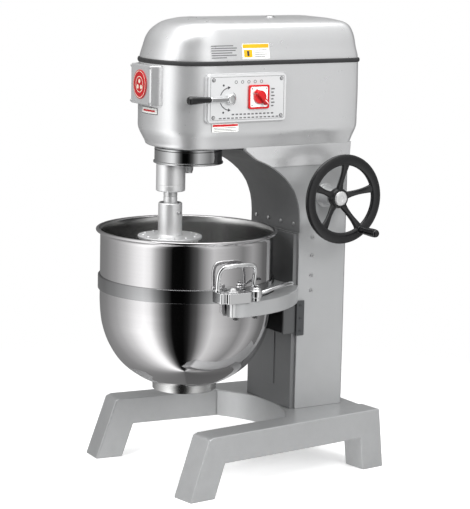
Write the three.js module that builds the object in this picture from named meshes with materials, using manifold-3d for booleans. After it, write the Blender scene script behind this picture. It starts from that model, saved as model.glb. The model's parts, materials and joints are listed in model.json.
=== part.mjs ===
// Commercial planetary stand mixer, floor standing, 40 litre class.
// Millimetres, +Z up, front of the machine toward -Y, handwheel and control panel on the +X side.
import * as THREE from "three";
import { mergeVertices } from "three/addons/utils/BufferGeometryUtils.js";
import Module from "manifold-3d";

const wasm = await Module();
wasm.setup();

// ---------- driving dimensions (mm) ----------
const Y_SHIFT = 64.795;           // puts the origin under the middle of the footprint
const GAP = 0.3;                 // clearance between touching pieces

const AXIS_Y = -190;             // main (bowl and planetary) axis
const ECC = 49;                  // distance from the main axis to the tool spindle

const RAIL = { splay: 5.84 * Math.PI / 180, x: 231.8, w: 69.3, top: 153.3, under: 84.3,
  frontTop: -272, frontFoot: -326.6, frontFootIn: -253.7, frontUnder: -223.9,
  rearTop: 268.9, rearFoot: 286.9, rearFootIn: 220.1, rearUnder: 210 };

const COL = { hw: 107, front: 73.2, rear: 219.2, bottom: 153.6, top: 774.7, wall: 10 };
const SHAFT_Y = 146.2;           // handwheel and lift screw axis
const SHAFT_Z = 697;

const HEAD = { hw: 130, front: 309, rear: 234, y0: -175, n: 2.3, rr: 28, bottom: 826, top: 1029.7, floor: 858, recess: 846.3 };
const SEAL = { z0: 1030, z1: 1040 };

const NECK = [[-100, 821], [-83, 808], [-64.5, 795], [-44, 786.5], [-25.5, 778], [-8, 768], [6.3, 758],
  [24, 743.5], [38, 728], [50, 711], [57.5, 694], [63.5, 677], [67.2, 658], [69, 636], [69.3, 606]];
const PLATE_T = 3.5;

const BOWL = { rim: 619.3, foot: 216.4, r: 214, rRim: 225, wall: 2.5, bead: 5 };
const BAND = { r: 219, z0: 470, z1: 503 };

const YOKE = { z0: 438, z1: 474, ri: 221, front: -208 };
const SADDLE = { y0: 32, y1: 60.9, z0: 350, z1: 421.7 };
const TRAVEL = 150;              // downward travel of the bowl carriage

const RING = { m: 3.5, z: 44, r: 87 };
const PLANET = { m: 3.5, z: 16 };
const MAIN = { m: 3, z: 45 };
const INPUT = { m: 3, z: 15, y: AXIS_Y + 90 };
const BEVEL = { m: 4, z: 16, face: 13 };
const MOTOR_Y = 100;

const DRUM = { r: 83.3, z0: 789, z1: 822, lip: 86, lipZ: 783 };
const MAIN_R = 16.5;             // main shaft radius
const SPINDLE = { r: 17, sleeve: 36, sleeveZ: 716, top: 845.5, bottom: 683 };
const TOOL = { hubR: 29.5, hubZ0: 605.3, hubZ1: 687, plateR: 79.5, plateZ: 598, bottom: 244 };

const WHEEL = { hubX: 160, capX: 178, rimX: 189, r: 112, ri: 84, grip: 95, gripA: -57 * Math.PI / 180 };
const LEVER = { y: -160.8, z: 951.3 };
const SWITCH = { y: -79.5, z: 954, size: 58 };
const PANEL = { y0: -221, y1: 1, z0: 895, z1: 1009, x: 136 };

// ---------- helpers ----------
const group = new THREE.Group();
group.name = "stand_mixer";
const up = new THREE.Vector3(0, 0, 1);

// a closed solid from any closed geometry
function solid(geo) {
  let g = (geo.index ? geo.toNonIndexed() : geo).clone();
  for (const k of Object.keys(g.attributes)) if (k !== "position") g.deleteAttribute(k);
  g = mergeVertices(g, 1e-4);
  const p = g.attributes.position.array, ix = g.index.array, tri = [];
  let vol = 0;
  for (let i = 0; i < ix.length; i += 3) {
    const [a, b, c] = [ix[i], ix[i + 1], ix[i + 2]];
    if (a === b || b === c || a === c) continue;
    tri.push(a, b, c);
    const [ax, ay, az] = [p[3 * a], p[3 * a + 1], p[3 * a + 2]], [bx, by, bz] = [p[3 * b], p[3 * b + 1], p[3 * b + 2]],
      [cx, cy, cz] = [p[3 * c], p[3 * c + 1], p[3 * c + 2]];
    vol += ax * (by * cz - bz * cy) - ay * (bx * cz - bz * cx) + az * (bx * cy - by * cx);
  }
  if (vol < 0) for (let i = 0; i < tri.length; i += 3) [tri[i + 1], tri[i + 2]] = [tri[i + 2], tri[i + 1]];
  return new wasm.Manifold(new wasm.Mesh({ numProp: 3, vertProperties: new Float32Array(p), triVerts: new Uint32Array(tri) }));
}
const join = (...s) => s.reduce((a, b) => a.add(b));
const cut = (a, ...s) => s.reduce((x, y) => x.subtract(y), a);

function box(x0, x1, y0, y1, z0, z1) {
  const g = new THREE.BoxGeometry(x1 - x0, y1 - y0, z1 - z0);
  g.translate((x0 + x1) / 2, (y0 + y1) / 2, (z0 + z1) / 2);
  return solid(g);
}
// cylinder or cone between two heights along an axis
function cyl(axis, u, v, a, b, r0, r1 = r0, seg = 24) {
  const g = new THREE.CylinderGeometry(r1, r0, b - a, seg, 1);
  g.rotateX(Math.PI / 2);
  g.translate(0, 0, (a + b) / 2);
  if (axis === "z") g.translate(u, v, 0);
  if (axis === "x") { g.rotateY(Math.PI / 2); g.translate(0, u, v); }
  if (axis === "y") { g.rotateX(-Math.PI / 2); g.translate(u, 0, v); }
  return solid(g);
}
// turned shape about a vertical axis, profile points [radius, height]
function turned(pts, x, y, seg = 28) {
  const g = new THREE.LatheGeometry(pts.map(([r, z]) => new THREE.Vector2(r, z)), seg);
  g.rotateX(Math.PI / 2);
  g.translate(x, y, 0);
  return solid(g);
}
// turned shape about an axis parallel to X
function turnedX(pts, y, z, seg = 24) {
  const g = new THREE.LatheGeometry(pts.map(([r, h]) => new THREE.Vector2(r, h)), seg);
  g.rotateZ(-Math.PI / 2);
  g.translate(0, y, z);
  return solid(g);
}
function shapeOf(pts) {
  return new THREE.Shape(pts.map(([x, y]) => new THREE.Vector2(x, y)));
}
// plan outline raised between two heights
function prism(pts, z0, z1) {
  const g = new THREE.ExtrudeGeometry(shapeOf(pts), { depth: z1 - z0, bevelEnabled: false });
  g.translate(0, 0, z0);
  return solid(g);
}
// side outline [y, z] pulled across the width
function slab(pts, x0, x1) {
  const g = new THREE.ExtrudeGeometry(shapeOf(pts), { depth: x1 - x0, bevelEnabled: false });
  g.applyMatrix4(new THREE.Matrix4().makeBasis(new THREE.Vector3(0, 1, 0), up, new THREE.Vector3(1, 0, 0)));
  g.translate(x0, 0, 0);
  return solid(g);
}
// convex sections of equal point count stacked in height
function loft(sections) {
  const n = sections[0].pts.length, pos = [], idx = [];
  for (const s of sections) for (const [x, y] of s.pts) pos.push(x, y, s.z);
  for (let k = 0; k + 1 < sections.length; k++)
    for (let i = 0; i < n; i++) {
      const a = k * n + i, b = k * n + (i + 1) % n, c = a + n, d = b + n;
      idx.push(a, b, d, a, d, c);
    }
  const last = (sections.length - 1) * n;
  for (let i = 1; i + 1 < n; i++) { idx.push(0, i + 1, i); idx.push(last, last + i, last + i + 1); }
  const g = new THREE.BufferGeometry();
  g.setAttribute("position", new THREE.Float32BufferAttribute(pos, 3));
  g.setIndex(idx);
  return solid(g);
}
// plan of the head: round nose at the front, small corners at the rear
function plan(w, front, rear, rr, nose = 16) {
  const pts = [], a = front + HEAD.y0, e = 2 / HEAD.n;
  for (let i = 0; i <= 3; i++) { const t = i / 3 * Math.PI / 2; pts.push([w - rr + rr * Math.cos(t), rear - rr + rr * Math.sin(t)]); }
  for (let i = 0; i <= 3; i++) { const t = Math.PI / 2 + i / 3 * Math.PI / 2; pts.push([-w + rr + rr * Math.cos(t), rear - rr + rr * Math.sin(t)]); }
  for (let i = 0; i <= nose; i++) {
    const t = Math.PI + i / nose * Math.PI, c = Math.cos(t), s = Math.sin(t);
    pts.push([w * Math.sign(c) * Math.abs(c) ** e, HEAD.y0 + a * Math.sign(s) * Math.abs(s) ** e]);
  }
  return pts;
}
function roundedRect(x0, x1, y0, y1, r, seg = 3) {
  const pts = [], c = [[x1 - r, y1 - r, 0], [x0 + r, y1 - r, 1], [x0 + r, y0 + r, 2], [x1 - r, y0 + r, 3]];
  for (const [cx, cy, q] of c) for (let i = 0; i <= seg; i++) { const t = (q + i / seg) * Math.PI / 2; pts.push([cx + r * Math.cos(t), cy + r * Math.sin(t)]); }
  return pts;
}
// offset of an open line in its own plane, to the left of its direction
function offsetLine(pts, d) {
  return pts.map((p, i) => {
    const a = pts[Math.max(i - 1, 0)], b = pts[Math.min(i + 1, pts.length - 1)];
    const l = Math.hypot(b[0] - a[0], b[1] - a[1]);
    return [p[0] - d * (b[1] - a[1]) / l, p[1] + d * (b[0] - a[0]) / l];
  });
}
function tube(points, r, seg, sides, closed = false) {
  const curve = new THREE.CatmullRomCurve3(points.map(p => new THREE.Vector3(...p)), closed, "centripetal");
  const ring = []; for (let i = 0; i < sides; i++) { const t = i / sides * 2 * Math.PI; ring.push([r * Math.cos(t), r * Math.sin(t)]); }
  return solid(new THREE.ExtrudeGeometry(shapeOf(ring), { steps: seg, extrudePath: curve, bevelEnabled: false }));
}
function add(name, body, color, metalness = 0.6, roughness = 0.45) {
  const m = body.getMesh();
  let g = new THREE.BufferGeometry();
  g.setAttribute("position", new THREE.Float32BufferAttribute(m.vertProperties, 3));
  g.setIndex(Array.from(m.triVerts));
  g.translate(0, Y_SHIFT, 0);
  g = g.toNonIndexed();
  g.computeVertexNormals();
  const mesh = new THREE.Mesh(g, new THREE.MeshStandardMaterial({ color, metalness, roughness }));
  mesh.name = name;
  group.add(mesh);
}
const mirrorX = s => s.scale([-1, 1, 1]);

// half thickness angle of an involute tooth at radius rho
const inv = a => Math.tan(a) - a;
function toothAngle(rp, alpha, half, rho) {
  const rb = rp * Math.cos(alpha);
  const a = Math.acos(Math.min(1, rb / Math.max(rho, rb)));
  return half / rp + inv(alpha) - inv(a);
}
// outline of a toothed wheel; play is taken from (or added to) the tooth thickness
function gearOutline(m, z, phase, play, tip, root, steps = 3) {
  const rp = m * z / 2, alpha = 20 * Math.PI / 180, half = Math.PI * m / 4 - play / 2, pts = [];
  const ra = rp + tip, rf = rp - root, r0 = Math.max(rf, rp * Math.cos(alpha));
  for (let k = 0; k < z; k++) {
    const c = phase + 2 * Math.PI * k / z, side = [];
    if (rf < r0) side.push([rf, toothAngle(rp, alpha, half, r0)]);
    for (let i = 0; i <= steps; i++) { const rho = r0 + (ra - r0) * i / steps; side.push([rho, toothAngle(rp, alpha, half, rho)]); }
    for (const [rho, t] of side) pts.push([rho * Math.cos(c - t), rho * Math.sin(c - t)]);
    for (const [rho, t] of side.reverse()) pts.push([rho * Math.cos(c + t), rho * Math.sin(c + t)]);
  }
  return pts;
}
function spur(m, z, phase, x, y, z0, z1, bore, steps = 1) {
  const pts = gearOutline(m, z, phase, 0.3, 0.95 * m, 1.2 * m, steps).map(([a, b]) => [a + x, b + y]);
  return cut(prism(pts, z0, z1), cyl("z", x, y, z0 - 1, z1 + 1, bore, bore, 20));
}
// straight bevel wheel, pitch cone 45 degrees, apex at the local origin, body toward -Z
function bevelWheel(m, z, phase, face) {
  const rp = m * z / 2, c45 = Math.SQRT1_2, rv = rp / c45, alpha = 20 * Math.PI / 180, half = Math.PI * m / 4 - 0.3;
  const tip = 0.9 * m, root = 1.15 * m, k = 1 - face / (rp / c45), loop = [];
  for (let t = 0; t < z; t++) {
    const c = phase + 2 * Math.PI * t / z, side = [];
    for (const d of [-root, tip]) { const rho = rv + d; side.push([d, toothAngle(rv, alpha, half, rho) / c45]); }
    for (const [d, a] of side) loop.push([(rp + d * c45), -rp + d * c45, c - a]);
    for (const [d, a] of side.reverse()) loop.push([(rp + d * c45), -rp + d * c45, c + a]);
  }
  const n = loop.length, pos = [], idx = [];
  for (const s of [1, k]) for (const [R, h, a] of loop) pos.push(s * R * Math.cos(a), s * R * Math.sin(a), s * h);
  pos.push(0, 0, -rp - 6, 0, 0, -rp * k - 2);
  for (let i = 0; i < n; i++) {
    const j = (i + 1) % n;
    idx.push(i, j, n + j, i, n + j, n + i);
    idx.push(2 * n, j, i);
    idx.push(2 * n + 1, n + i, n + j);
  }
  const g = new THREE.BufferGeometry();
  g.setAttribute("position", new THREE.Float32BufferAttribute(pos, 3));
  g.setIndex(idx);
  return g;
}

// ---------- base casting ----------
function rail() {
  const r = RAIL, side = [[r.frontFoot, 0], [r.frontFootIn, 0], [r.frontUnder, r.under], [r.rearUnder, r.under],
    [r.rearFootIn, 0], [r.rearFoot, 0], [r.rearTop, r.top], [r.rearTop - 10, r.top], [r.frontTop + 12, r.top], [r.frontTop - 1, r.top - 5]];
  const g = new THREE.ExtrudeGeometry(shapeOf(side), { depth: r.w, bevelEnabled: false });
  const c = Math.cos(r.splay), s = Math.sin(r.splay);
  g.applyMatrix4(new THREE.Matrix4().makeBasis(new THREE.Vector3(-s, c, 0), up, new THREE.Vector3(c, s, 0)));
  g.translate(r.x - r.w * c, -r.w * s, 0);
  return solid(g);
}
const bridge = [];
for (let i = 0; i <= 16; i++) { const x = -185 + i * 370 / 16; bridge.push([x, AXIS_Y + 0 + Math.sqrt(254 ** 2 - x * x)]); }
bridge.push([165, 252], [-165, 252]);
const railR = rail();
add("base_frame", join(railR, mirrorX(railR), prism(bridge, RAIL.under, RAIL.top)), 0xb4b6b8, 0.3, 0.42);

// ---------- column ----------
const neckIn = offsetLine(NECK, PLATE_T + GAP * 1.4);   // casting surface behind the neck cover
const neckY = z => { for (let i = 0; i + 1 < neckIn.length; i++) { const [a, b] = [neckIn[i], neckIn[i + 1]]; if (z <= a[1] && z >= b[1]) return b[0] + (a[0] - b[0]) * (z - b[1]) / (a[1] - b[1]); } return z > neckIn[0][1] ? neckIn[0][0] : COL.front; };
const colSide = [[COL.rear, COL.bottom], [COL.rear, COL.top], [neckY(COL.top), COL.top],
  ...neckIn.filter(p => p[1] < COL.top - 2 && p[1] > 630), [COL.front, 612], [COL.front, COL.bottom]];
let column = slab(colSide, -COL.hw, COL.hw);
for (const s of [-1, 1]) {                               // soft vertical corners at the rear
  column = cut(column, prism([[s * COL.hw + s, COL.rear + 1], [s * (COL.hw - 9), COL.rear + 1], [s * (COL.hw - 3), COL.rear - 3], [s * COL.hw + s, COL.rear - 9]].map(p => p), COL.bottom - 1, COL.top + 1));
}
column = cut(column,
  box(-COL.hw + COL.wall, COL.hw - COL.wall, COL.front + COL.wall, COL.rear - COL.wall, COL.bottom - 1, COL.top + 1),
  box(-18, 18, COL.front - 5, COL.front + 20, 212, 426),             // slot for the lift arm
  box(-66, 66, COL.rear - 20, COL.rear + 5, 262, 690),               // rear service window
  cyl("x", SHAFT_Y, SHAFT_Z, 80, 120, 14),
  cyl("y", 62, 215, 200, 230, 9));
add("column", column, 0xaeb0b2, 0.3, 0.42);
add("rear_cover", cut(slab([[COL.rear + GAP, 250], [COL.rear + 3, 250], [COL.rear + 3, 702], [COL.rear + GAP, 702]], -78, 78),
  ...[300, 330, 360, 390].map(z => box(-45, 45, COL.rear - 5, COL.rear + 8, z, z + 8))), 0xb4b6b8, 0.3, 0.45);
add("cable_gland", turnedAlongY([[8.5, -14], [8.5, GAP], [14, GAP], [14, 8], [11, 9], [10, 20], [5, 20], [5, -14]], 62, COL.rear, 215), 0x202224, 0.0, 0.6);
function turnedAlongY(pts, x, y, z, seg = 16) {
  const g = new THREE.LatheGeometry([...pts, pts[0]].map(([r, h]) => new THREE.Vector2(r, h)), seg);
  g.translate(x, y, z);
  return solid(g);
}

// ---------- head casting with neck ----------
const H = HEAD;
const skin = [[H.bottom, 111, 284, 222, 20], [H.bottom + 3, 113, 290, 224, 22], [836, 116, 292.5, 226, 24], [862, 127.5, 306, 232, 27], [872, H.hw, H.front, H.rear, H.rr],
  [950, H.hw + 0.8, H.front + 0.8, H.rear + 0.8, H.rr], [H.top, H.hw, H.front, H.rear, H.rr]];
let head = loft(skin.map(([z, w, f, r, rr]) => ({ z, pts: plan(w, f, r, rr) })));
const neckPlan = (z, w, rear) => ({ z, pts: roundedRect(-w, w, neckY(z), rear, 5, 2) });
head = join(head, loft([COL.top + GAP, ...neckIn.map(p => p[1]).filter(z => z > COL.top + 2 && z < 824).reverse(), 829].map(z => neckPlan(z, 110 + (z - COL.top) * 0.035, 219.6 + (z - COL.top) * 0.04))));
head = join(head,
  prism([[-60, -285], [-58, -309], [-47, -328], [47, -328], [58, -309], [60, -285]], 931, 1027),   // badge boss
  slab(roundedRect(PANEL.y0 - 3, PANEL.y1 + 3, PANEL.z0 - 3, PANEL.z1 + 3, 10), 100, PANEL.x));       // panel pad
head = cut(head,
  loft([{ z: H.floor, pts: plan(H.hw - 9, H.front - 10, H.rear - 9, 20) }, { z: H.top + 1, pts: plan(H.hw - 9, H.front - 10, H.rear - 9, 20) }]),
  box(-COL.hw + COL.wall, COL.hw - COL.wall, COL.front + COL.wall, COL.rear - COL.wall, COL.top - 1, H.floor + 1),
  cyl("z", 0, AXIS_Y, H.bottom - 5, H.recess, RING.r + GAP, RING.r + GAP, 48),
  cyl("z", 0, AXIS_Y, H.recess - 1, H.floor + 1, 42.4, 42.4, 20),
  cyl("x", LEVER.y, LEVER.z, 100, 150, 8.6));
add("head_casting", head, 0xc2c4c6, 0.3, 0.4);

add("cover_seal", cut(loft([{ z: SEAL.z0, pts: plan(H.hw + 1.5, H.front + 1.5, H.rear + 1.5, H.rr) }, { z: (SEAL.z0 + SEAL.z1) / 2, pts: plan(H.hw + 3, H.front + 3, H.rear + 3, H.rr + 1) }, { z: SEAL.z1, pts: plan(H.hw + 1.5, H.front + 1.5, H.rear + 1.5, H.rr) }]),
  loft([{ z: SEAL.z0 - 1, pts: plan(H.hw - 8, H.front - 9, H.rear - 8, 21) }, { z: SEAL.z1 + 1, pts: plan(H.hw - 8, H.front - 9, H.rear - 8, 21) }])), 0x1b1c1d, 0.0, 0.75);

// top cover: height, side inset, front inset, rear inset
const dome = [[SEAL.z1 + GAP, 1, 2, 1], [1066, 5, 9, 5], [1090, 9, 18, 8], [1106, 13.5, 31, 11.5], [1119, 20, 51, 17],
  [1127, 30, 70, 25], [1132, 46, 94, 40], [1136, 74, 126, 64], [1138, 100, 156, 90]];
const shell = (s, d) => loft(s.map(([z, a, f, r], i) => ({ z: z - (d && i ? d * Math.min(1, i / 4) : 0) - (d && !i ? 1 : 0), pts: plan(H.hw - a - d, H.front - f - d, H.rear - r - d, Math.max(H.rr - d - r * 0.05, 12), 18) })));
let cover = cut(shell(dome, 0), shell(dome.filter((s, i) => i % 2 === 0), 6));
const VENT = [31, 20];
cover = join(cover, cut(cyl("z", VENT[0], VENT[1], 1126, 1136, 14, 14, 24)));
cover = cut(cover, cyl("z", VENT[0], VENT[1], 1135.4, 1142, 12.5, 12.5, 24), cyl("z", VENT[0], VENT[1], 1120, 1142, 5.5, 5.5, 16));
add("top_cover", cover, 0xc6c8ca, 0.3, 0.4);
add("vent_plug", join(cyl("z", VENT[0], VENT[1], 1135.7, 1140.5, 11, 9.5, 24), cyl("z", VENT[0], VENT[1], 1122, 1136, 5, 5, 16)), 0x9a9c9e, 0.6, 0.4);

// neck cover: bent sheet over the front of the neck
const plateIn = offsetLine(NECK, PLATE_T);
add("neck_cover", slab([...NECK, ...plateIn.slice().reverse()], -110, 110), 0x6d6f70, 0.3, 0.5);

// ---------- control panel ----------
add("control_panel", cut(slab(roundedRect(PANEL.y0, PANEL.y1, PANEL.z0, PANEL.z1, 8), PANEL.x + GAP, PANEL.x + 3.3), cyl("x", LEVER.y, LEVER.z, 120, 150, 8.6)), 0xd0d2d4, 0.7, 0.35);
const sw = (h, x0, x1) => slab(roundedRect(SWITCH.y - h, SWITCH.y + h, SWITCH.z - h, SWITCH.z + h, 4, 2), x0, x1);
const px = PANEL.x + 3.6;
add("switch_frame", cut(sw(29, px, px + 6), sw(25, px - 1, px + 7)), 0xc8201e, 0.0, 0.4);
add("switch_plate", cut(sw(24.7, px, px + 4.5), cyl("x", SWITCH.y, SWITCH.z, px + 2, px + 6, 5.4)), 0xf2f2f0, 0.0, 0.4);
const knobBar = new THREE.BoxGeometry(15, 46, 13); knobBar.translate(px + 17.5, 0, 0); knobBar.rotateX(-0.8); knobBar.translate(0, SWITCH.y, SWITCH.z);
add("switch_knob", join(turnedX([[0, px + 2.5], [5, px + 2.5], [5, px + 4.8], [17, px + 4.8], [16, px + 14], [0, px + 14], [0, px + 2.5]], SWITCH.y, SWITCH.z, 28), solid(knobBar)), 0xc3171a, 0.0, 0.3);

// gear shift lever: shaft through the panel, rod toward the front, tapered grip
add("shift_lever", join(cyl("x", LEVER.y, LEVER.z, 104, px + GAP + 1, 8), cyl("x", LEVER.y, LEVER.z, px, px + 13, 13, 11, 24),
  cyl("y", px + 7.5, LEVER.z, -246, LEVER.y, 4.6, 4.6, 16)), 0xc9ccce, 0.9, 0.2);
add("shift_grip", cut(turnedAlongY([[0, -282], [9, -281], [10.6, -276], [9.6, -262], [6.6, -224], [5.8, -218], [0, -218]], px + 7.5, 0, LEVER.z), cyl("y", px + 7.5, LEVER.z, -246.3, -210, 4.9, 4.9, 16)), 0x161718, 0.0, 0.3);

// generic round badge, no mark on it
const disc = new THREE.CylinderGeometry(1, 1, 2.7, 28); disc.scale(31, 1, 35); disc.translate(0, -329.65, 979.5);
add("badge_disc", solid(disc), 0xc8332e, 0.0, 0.4);

// ---------- drive inside the head ----------
const D = -Math.PI / 2;
const ringVoid = gearOutline(RING.m, RING.z, D, -0.4, 1.2 * RING.m, 0.95 * RING.m, 1).map(([a, b]) => [a, b + AXIS_Y]);
add("ring_gear", cut(cyl("z", 0, AXIS_Y, 828, 846, RING.r, RING.r, 48), prism(ringVoid, 820, 850)), 0x8a8c8e, 0.9, 0.4);
add("main_bearing", turned([[MAIN_R + GAP, 846.6], [42, 846.6], [42, 872], [MAIN_R + GAP, 872], [MAIN_R + GAP, 846.6]], 0, AXIS_Y, 20), 0xa8aaac, 0.9, 0.3);
add("main_shaft", turned([[0, 759], [9.5, 759], [9.5, 783], [MAIN_R, 783], [MAIN_R, 958], [0, 958], [0, 759]], 0, AXIS_Y, 20), 0xb0b2b4, 0.9, 0.3);
add("main_gear", spur(MAIN.m, MAIN.z, Math.PI / 2, 0, AXIS_Y, 905, 923, MAIN_R + GAP, 1), 0x8a8c8e, 0.9, 0.4);
const SP_Y = AXIS_Y - ECC;
add("planet_drum", cut(turned([[0, DRUM.lipZ], [DRUM.lip, DRUM.lipZ], [DRUM.lip, DRUM.z0 - 1], [DRUM.r, DRUM.z0], [DRUM.r, DRUM.z1], [0, DRUM.z1], [0, DRUM.lipZ]], 0, AXIS_Y, 36),
  cyl("z", 0, AXIS_Y, 770, 830, MAIN_R + GAP, MAIN_R + GAP, 20), cyl("z", 0, SP_Y, 770, 830, SPINDLE.r + GAP, SPINDLE.r + GAP, 24)), 0xd8dadc, 1.0, 0.08);
add("drum_nut", cut(turned([[0, 757], [11, 757], [11, 762], [12.4, 763], [12.4, 782.7], [0, 782.7], [0, 757]], 0, AXIS_Y, 12), cyl("z", 0, AXIS_Y, 750, 790, 10.3, 10.3, 12)), 0x9a9c9e, 0.9, 0.35);
add("spindle_housing", cut(turned([[0, SPINDLE.sleeveZ], [34.5, SPINDLE.sleeveZ], [SPINDLE.sleeve, SPINDLE.sleeveZ + 1.5], [SPINDLE.sleeve, DRUM.lipZ - GAP], [0, DRUM.lipZ - GAP], [0, SPINDLE.sleeveZ]], 0, SP_Y),
  cyl("z", 0, SP_Y, 700, 800, SPINDLE.r + GAP, SPINDLE.r + GAP, 24)), 0xc4c6c8, 0.9, 0.3);
add("agitator_shaft", cyl("z", 0, SP_Y, 640, SPINDLE.top, SPINDLE.r, SPINDLE.r, 24), 0xc8cacc, 0.9, 0.25);
add("planet_pinion", spur(PLANET.m, PLANET.z, D, 0, SP_Y, 829, 845, SPINDLE.r + GAP), 0x8a8c8e, 0.9, 0.4);

// ---------- wire whisk ----------
add("tool_hub", cut(join(turned([[0, TOOL.hubZ0], [TOOL.hubR, TOOL.hubZ0], [TOOL.hubR, TOOL.hubZ1 - 3], [TOOL.hubR - 3, TOOL.hubZ1], [0, TOOL.hubZ1], [0, TOOL.hubZ0]], 0, SP_Y), cyl("z", 0, SP_Y, TOOL.plateZ, TOOL.hubZ0 + 1, TOOL.plateR, TOOL.plateR, 32)),
  cyl("z", 0, SP_Y, 639.7, 700, SPINDLE.r + GAP, SPINDLE.r + GAP, 24)), 0xb8babc, 0.9, 0.35);
let wires = null;
for (let i = 0; i < 6; i++) {
  const a = Math.PI * i / 6 + 0.13, c = Math.cos(a), s = Math.sin(a), b = TOOL.bottom + 10 + i * 2.0;
  const half = [[66, 597.4], [74, 560], [101, 470], [124, 389], [126, 353], [110, 314], [82, 287], [54, b + 14], [28, b + 2], [0, b]];
  const pts = [...half.map(([r, z]) => [r * c, SP_Y + r * s, z]), ...half.slice(0, -1).reverse().map(([r, z]) => [-r * c, SP_Y - r * s, z])];
  const w = tube(pts, 2.6, 14, 4);
  wires = wires ? wires.add(w) : w;
}
add("whisk_wires", wires, 0xc4c6c8, 0.9, 0.3);

// ---------- gearbox, input shaft, belt drive and motor ----------
add("gearbox_plate", cut(join(prism(roundedRect(-98, 98, -262, -50, 30, 1), 945, 953), ...[[86, -66], [-86, -66], [82, -232], [-82, -232]].map(([x, y]) => cyl("z", x, y, H.floor + GAP, 946, 9, 9, 8))),
  cyl("z", 0, AXIS_Y, 940, 960, MAIN_R + 0.5, MAIN_R + 0.5, 16), cyl("z", 0, INPUT.y, 940, 960, 12.5, 12.5, 16)), 0x9fa1a3, 0.6, 0.5);
add("input_shaft", cyl("z", 0, INPUT.y, H.floor + 2, 1000, 12, 12, 20), 0xb0b2b4, 0.9, 0.3);
add("input_bearing", turned([[12.3, H.floor + GAP], [25, H.floor + GAP], [25, H.floor + 15], [12.3, H.floor + 15], [12.3, H.floor + GAP]], 0, INPUT.y, 20), 0xa8aaac, 0.9, 0.3);
add("input_pinion", spur(INPUT.m, INPUT.z, D + Math.PI / INPUT.z, 0, INPUT.y, 903, 925, 12.3), 0x8a8c8e, 0.9, 0.4);
const pulley = (r, g, bore, y) => turned([[bore, 962], [r, 962], [r, 966], [g, 967], [g, 975], [r, 976], [r, 980], [bore, 980], [bore, 962]], 0, y, 20);
add("driven_pulley", pulley(72, 63, 12.3, INPUT.y), 0x7c7e80, 0.8, 0.5);
add("motor", cut(join(cyl("z", 0, MOTOR_Y, H.floor + 8, 946, 70, 70, 28), prism(roundedRect(-106, 106, 22, 178, 12, 1), H.floor + GAP, H.floor + 8.5), cyl("z", 0, MOTOR_Y, 940, 952, 26, 26, 16)),
  cyl("z", 0, MOTOR_Y, 930, 960, 9.6, 9.6, 12)), 0x56616b, 0.5, 0.5);
add("motor_shaft", cyl("z", 0, MOTOR_Y, 931, 988, 9, 9, 12), 0xb0b2b4, 0.9, 0.3);
add("motor_pulley", pulley(36, 27, 9.3, MOTOR_Y), 0x7c7e80, 0.8, 0.5);
function beltLoop(ra, rb) {
  const pts = [], y0 = INPUT.y, y1 = MOTOR_Y, d = y1 - y0, t = Math.asin((ra - rb) / d);
  for (let i = 0; i <= 20; i++) { const a = Math.PI - t + i / 20 * (Math.PI + 2 * t); pts.push([ra * Math.cos(a), y0 + ra * Math.sin(a)]); }
  for (let i = 0; i <= 12; i++) { const a = t + i / 12 * (Math.PI - 2 * t); pts.push([rb * Math.cos(a), y1 + rb * Math.sin(a)]); }
  return pts;
}
add("v_belt", cut(prism(beltLoop(71, 35), 967.4, 974.6), prism(beltLoop(63.4, 27.4), 960, 980)), 0x1c1d1e, 0.0, 0.8);

// ---------- bowl lift ----------
add("slide_ways", cut(slab([[61.2, COL.bottom], [COL.front - GAP, COL.bottom], [COL.front - GAP, 602], [61.2, 602]], -100, 100), box(-20, 20, 50, 80, 205, 430)), 0x8c8e90, 0.4, 0.42);
const yokeOuter = [];
const yR = t => 254 + 30 * Math.max(0, t / 66) ** 1.5;
const t0 = Math.asin((YOKE.front - AXIS_Y) / 252) * 180 / Math.PI;
for (let i = 0; i <= 16; i++) { const t = t0 + (66 - t0) * i / 16, r = yR(t), a = t * Math.PI / 180; yokeOuter.push([r * Math.cos(a), AXIS_Y + r * Math.sin(a)]); }
const right = [[212, YOKE.front], [246, YOKE.front], ...yokeOuter.slice(1), [107, SADDLE.y1]];
let yoke = prism([...right, ...right.slice().reverse().map(([x, y]) => [-x, y])], YOKE.z0, YOKE.z1);
yoke = join(yoke, box(-107, 107, 20, SADDLE.y1, SADDLE.z1 + GAP, YOKE.z0 + 2));
yoke = cut(yoke, cyl("z", 0, AXIS_Y, 400, 500, YOKE.ri, YOKE.ri, 32), box(-300, 300, -420, YOKE.front, 400, 500));
add("yoke", yoke, 0xb4b6b8, 0.3, 0.42);
// the saddle hooks round the slide plate's edges; a thin apron hangs below it over the lift slot
add("lift_saddle", join(box(-107, 107, SADDLE.y0, SADDLE.y1, SADDLE.z0, SADDLE.z1),
  box(100.4, 107, SADDLE.y1 - 1, COL.front - 0.6, SADDLE.z0, SADDLE.z1), box(-107, -100.4, SADDLE.y1 - 1, COL.front - 0.6, SADDLE.z0, SADDLE.z1),
  box(-26, 26, SADDLE.y1 - 2, SADDLE.y1, 203, SADDLE.z0 + 1)), 0x1e1f20, 0.4, 0.5);
const gib = box(107.4, 113, 67, 90.5, 344, 433);
add("gib_right", gib, 0x4a4c4e, 0.6, 0.5);
add("gib_left", mirrorX(gib), 0x4a4c4e, 0.6, 0.5);
add("lift_nut", cut(join(box(-14, 14, SADDLE.y1 + GAP, 122, 368, 408), box(-24, 24, 120, 172, 368, 408)), cyl("z", 0, SHAFT_Y, 350, 420, 14)), 0xb08d4a, 0.9, 0.4);
add("lift_screw", turned([[0, 172], [11.5, 172], [11.5, 192], [13.7, 192], [13.7, 652], [11.5, 652], [11.5, 673], [0, 673], [0, 172]], 0, SHAFT_Y, 20), 0xa8aaac, 0.9, 0.35);
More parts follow.
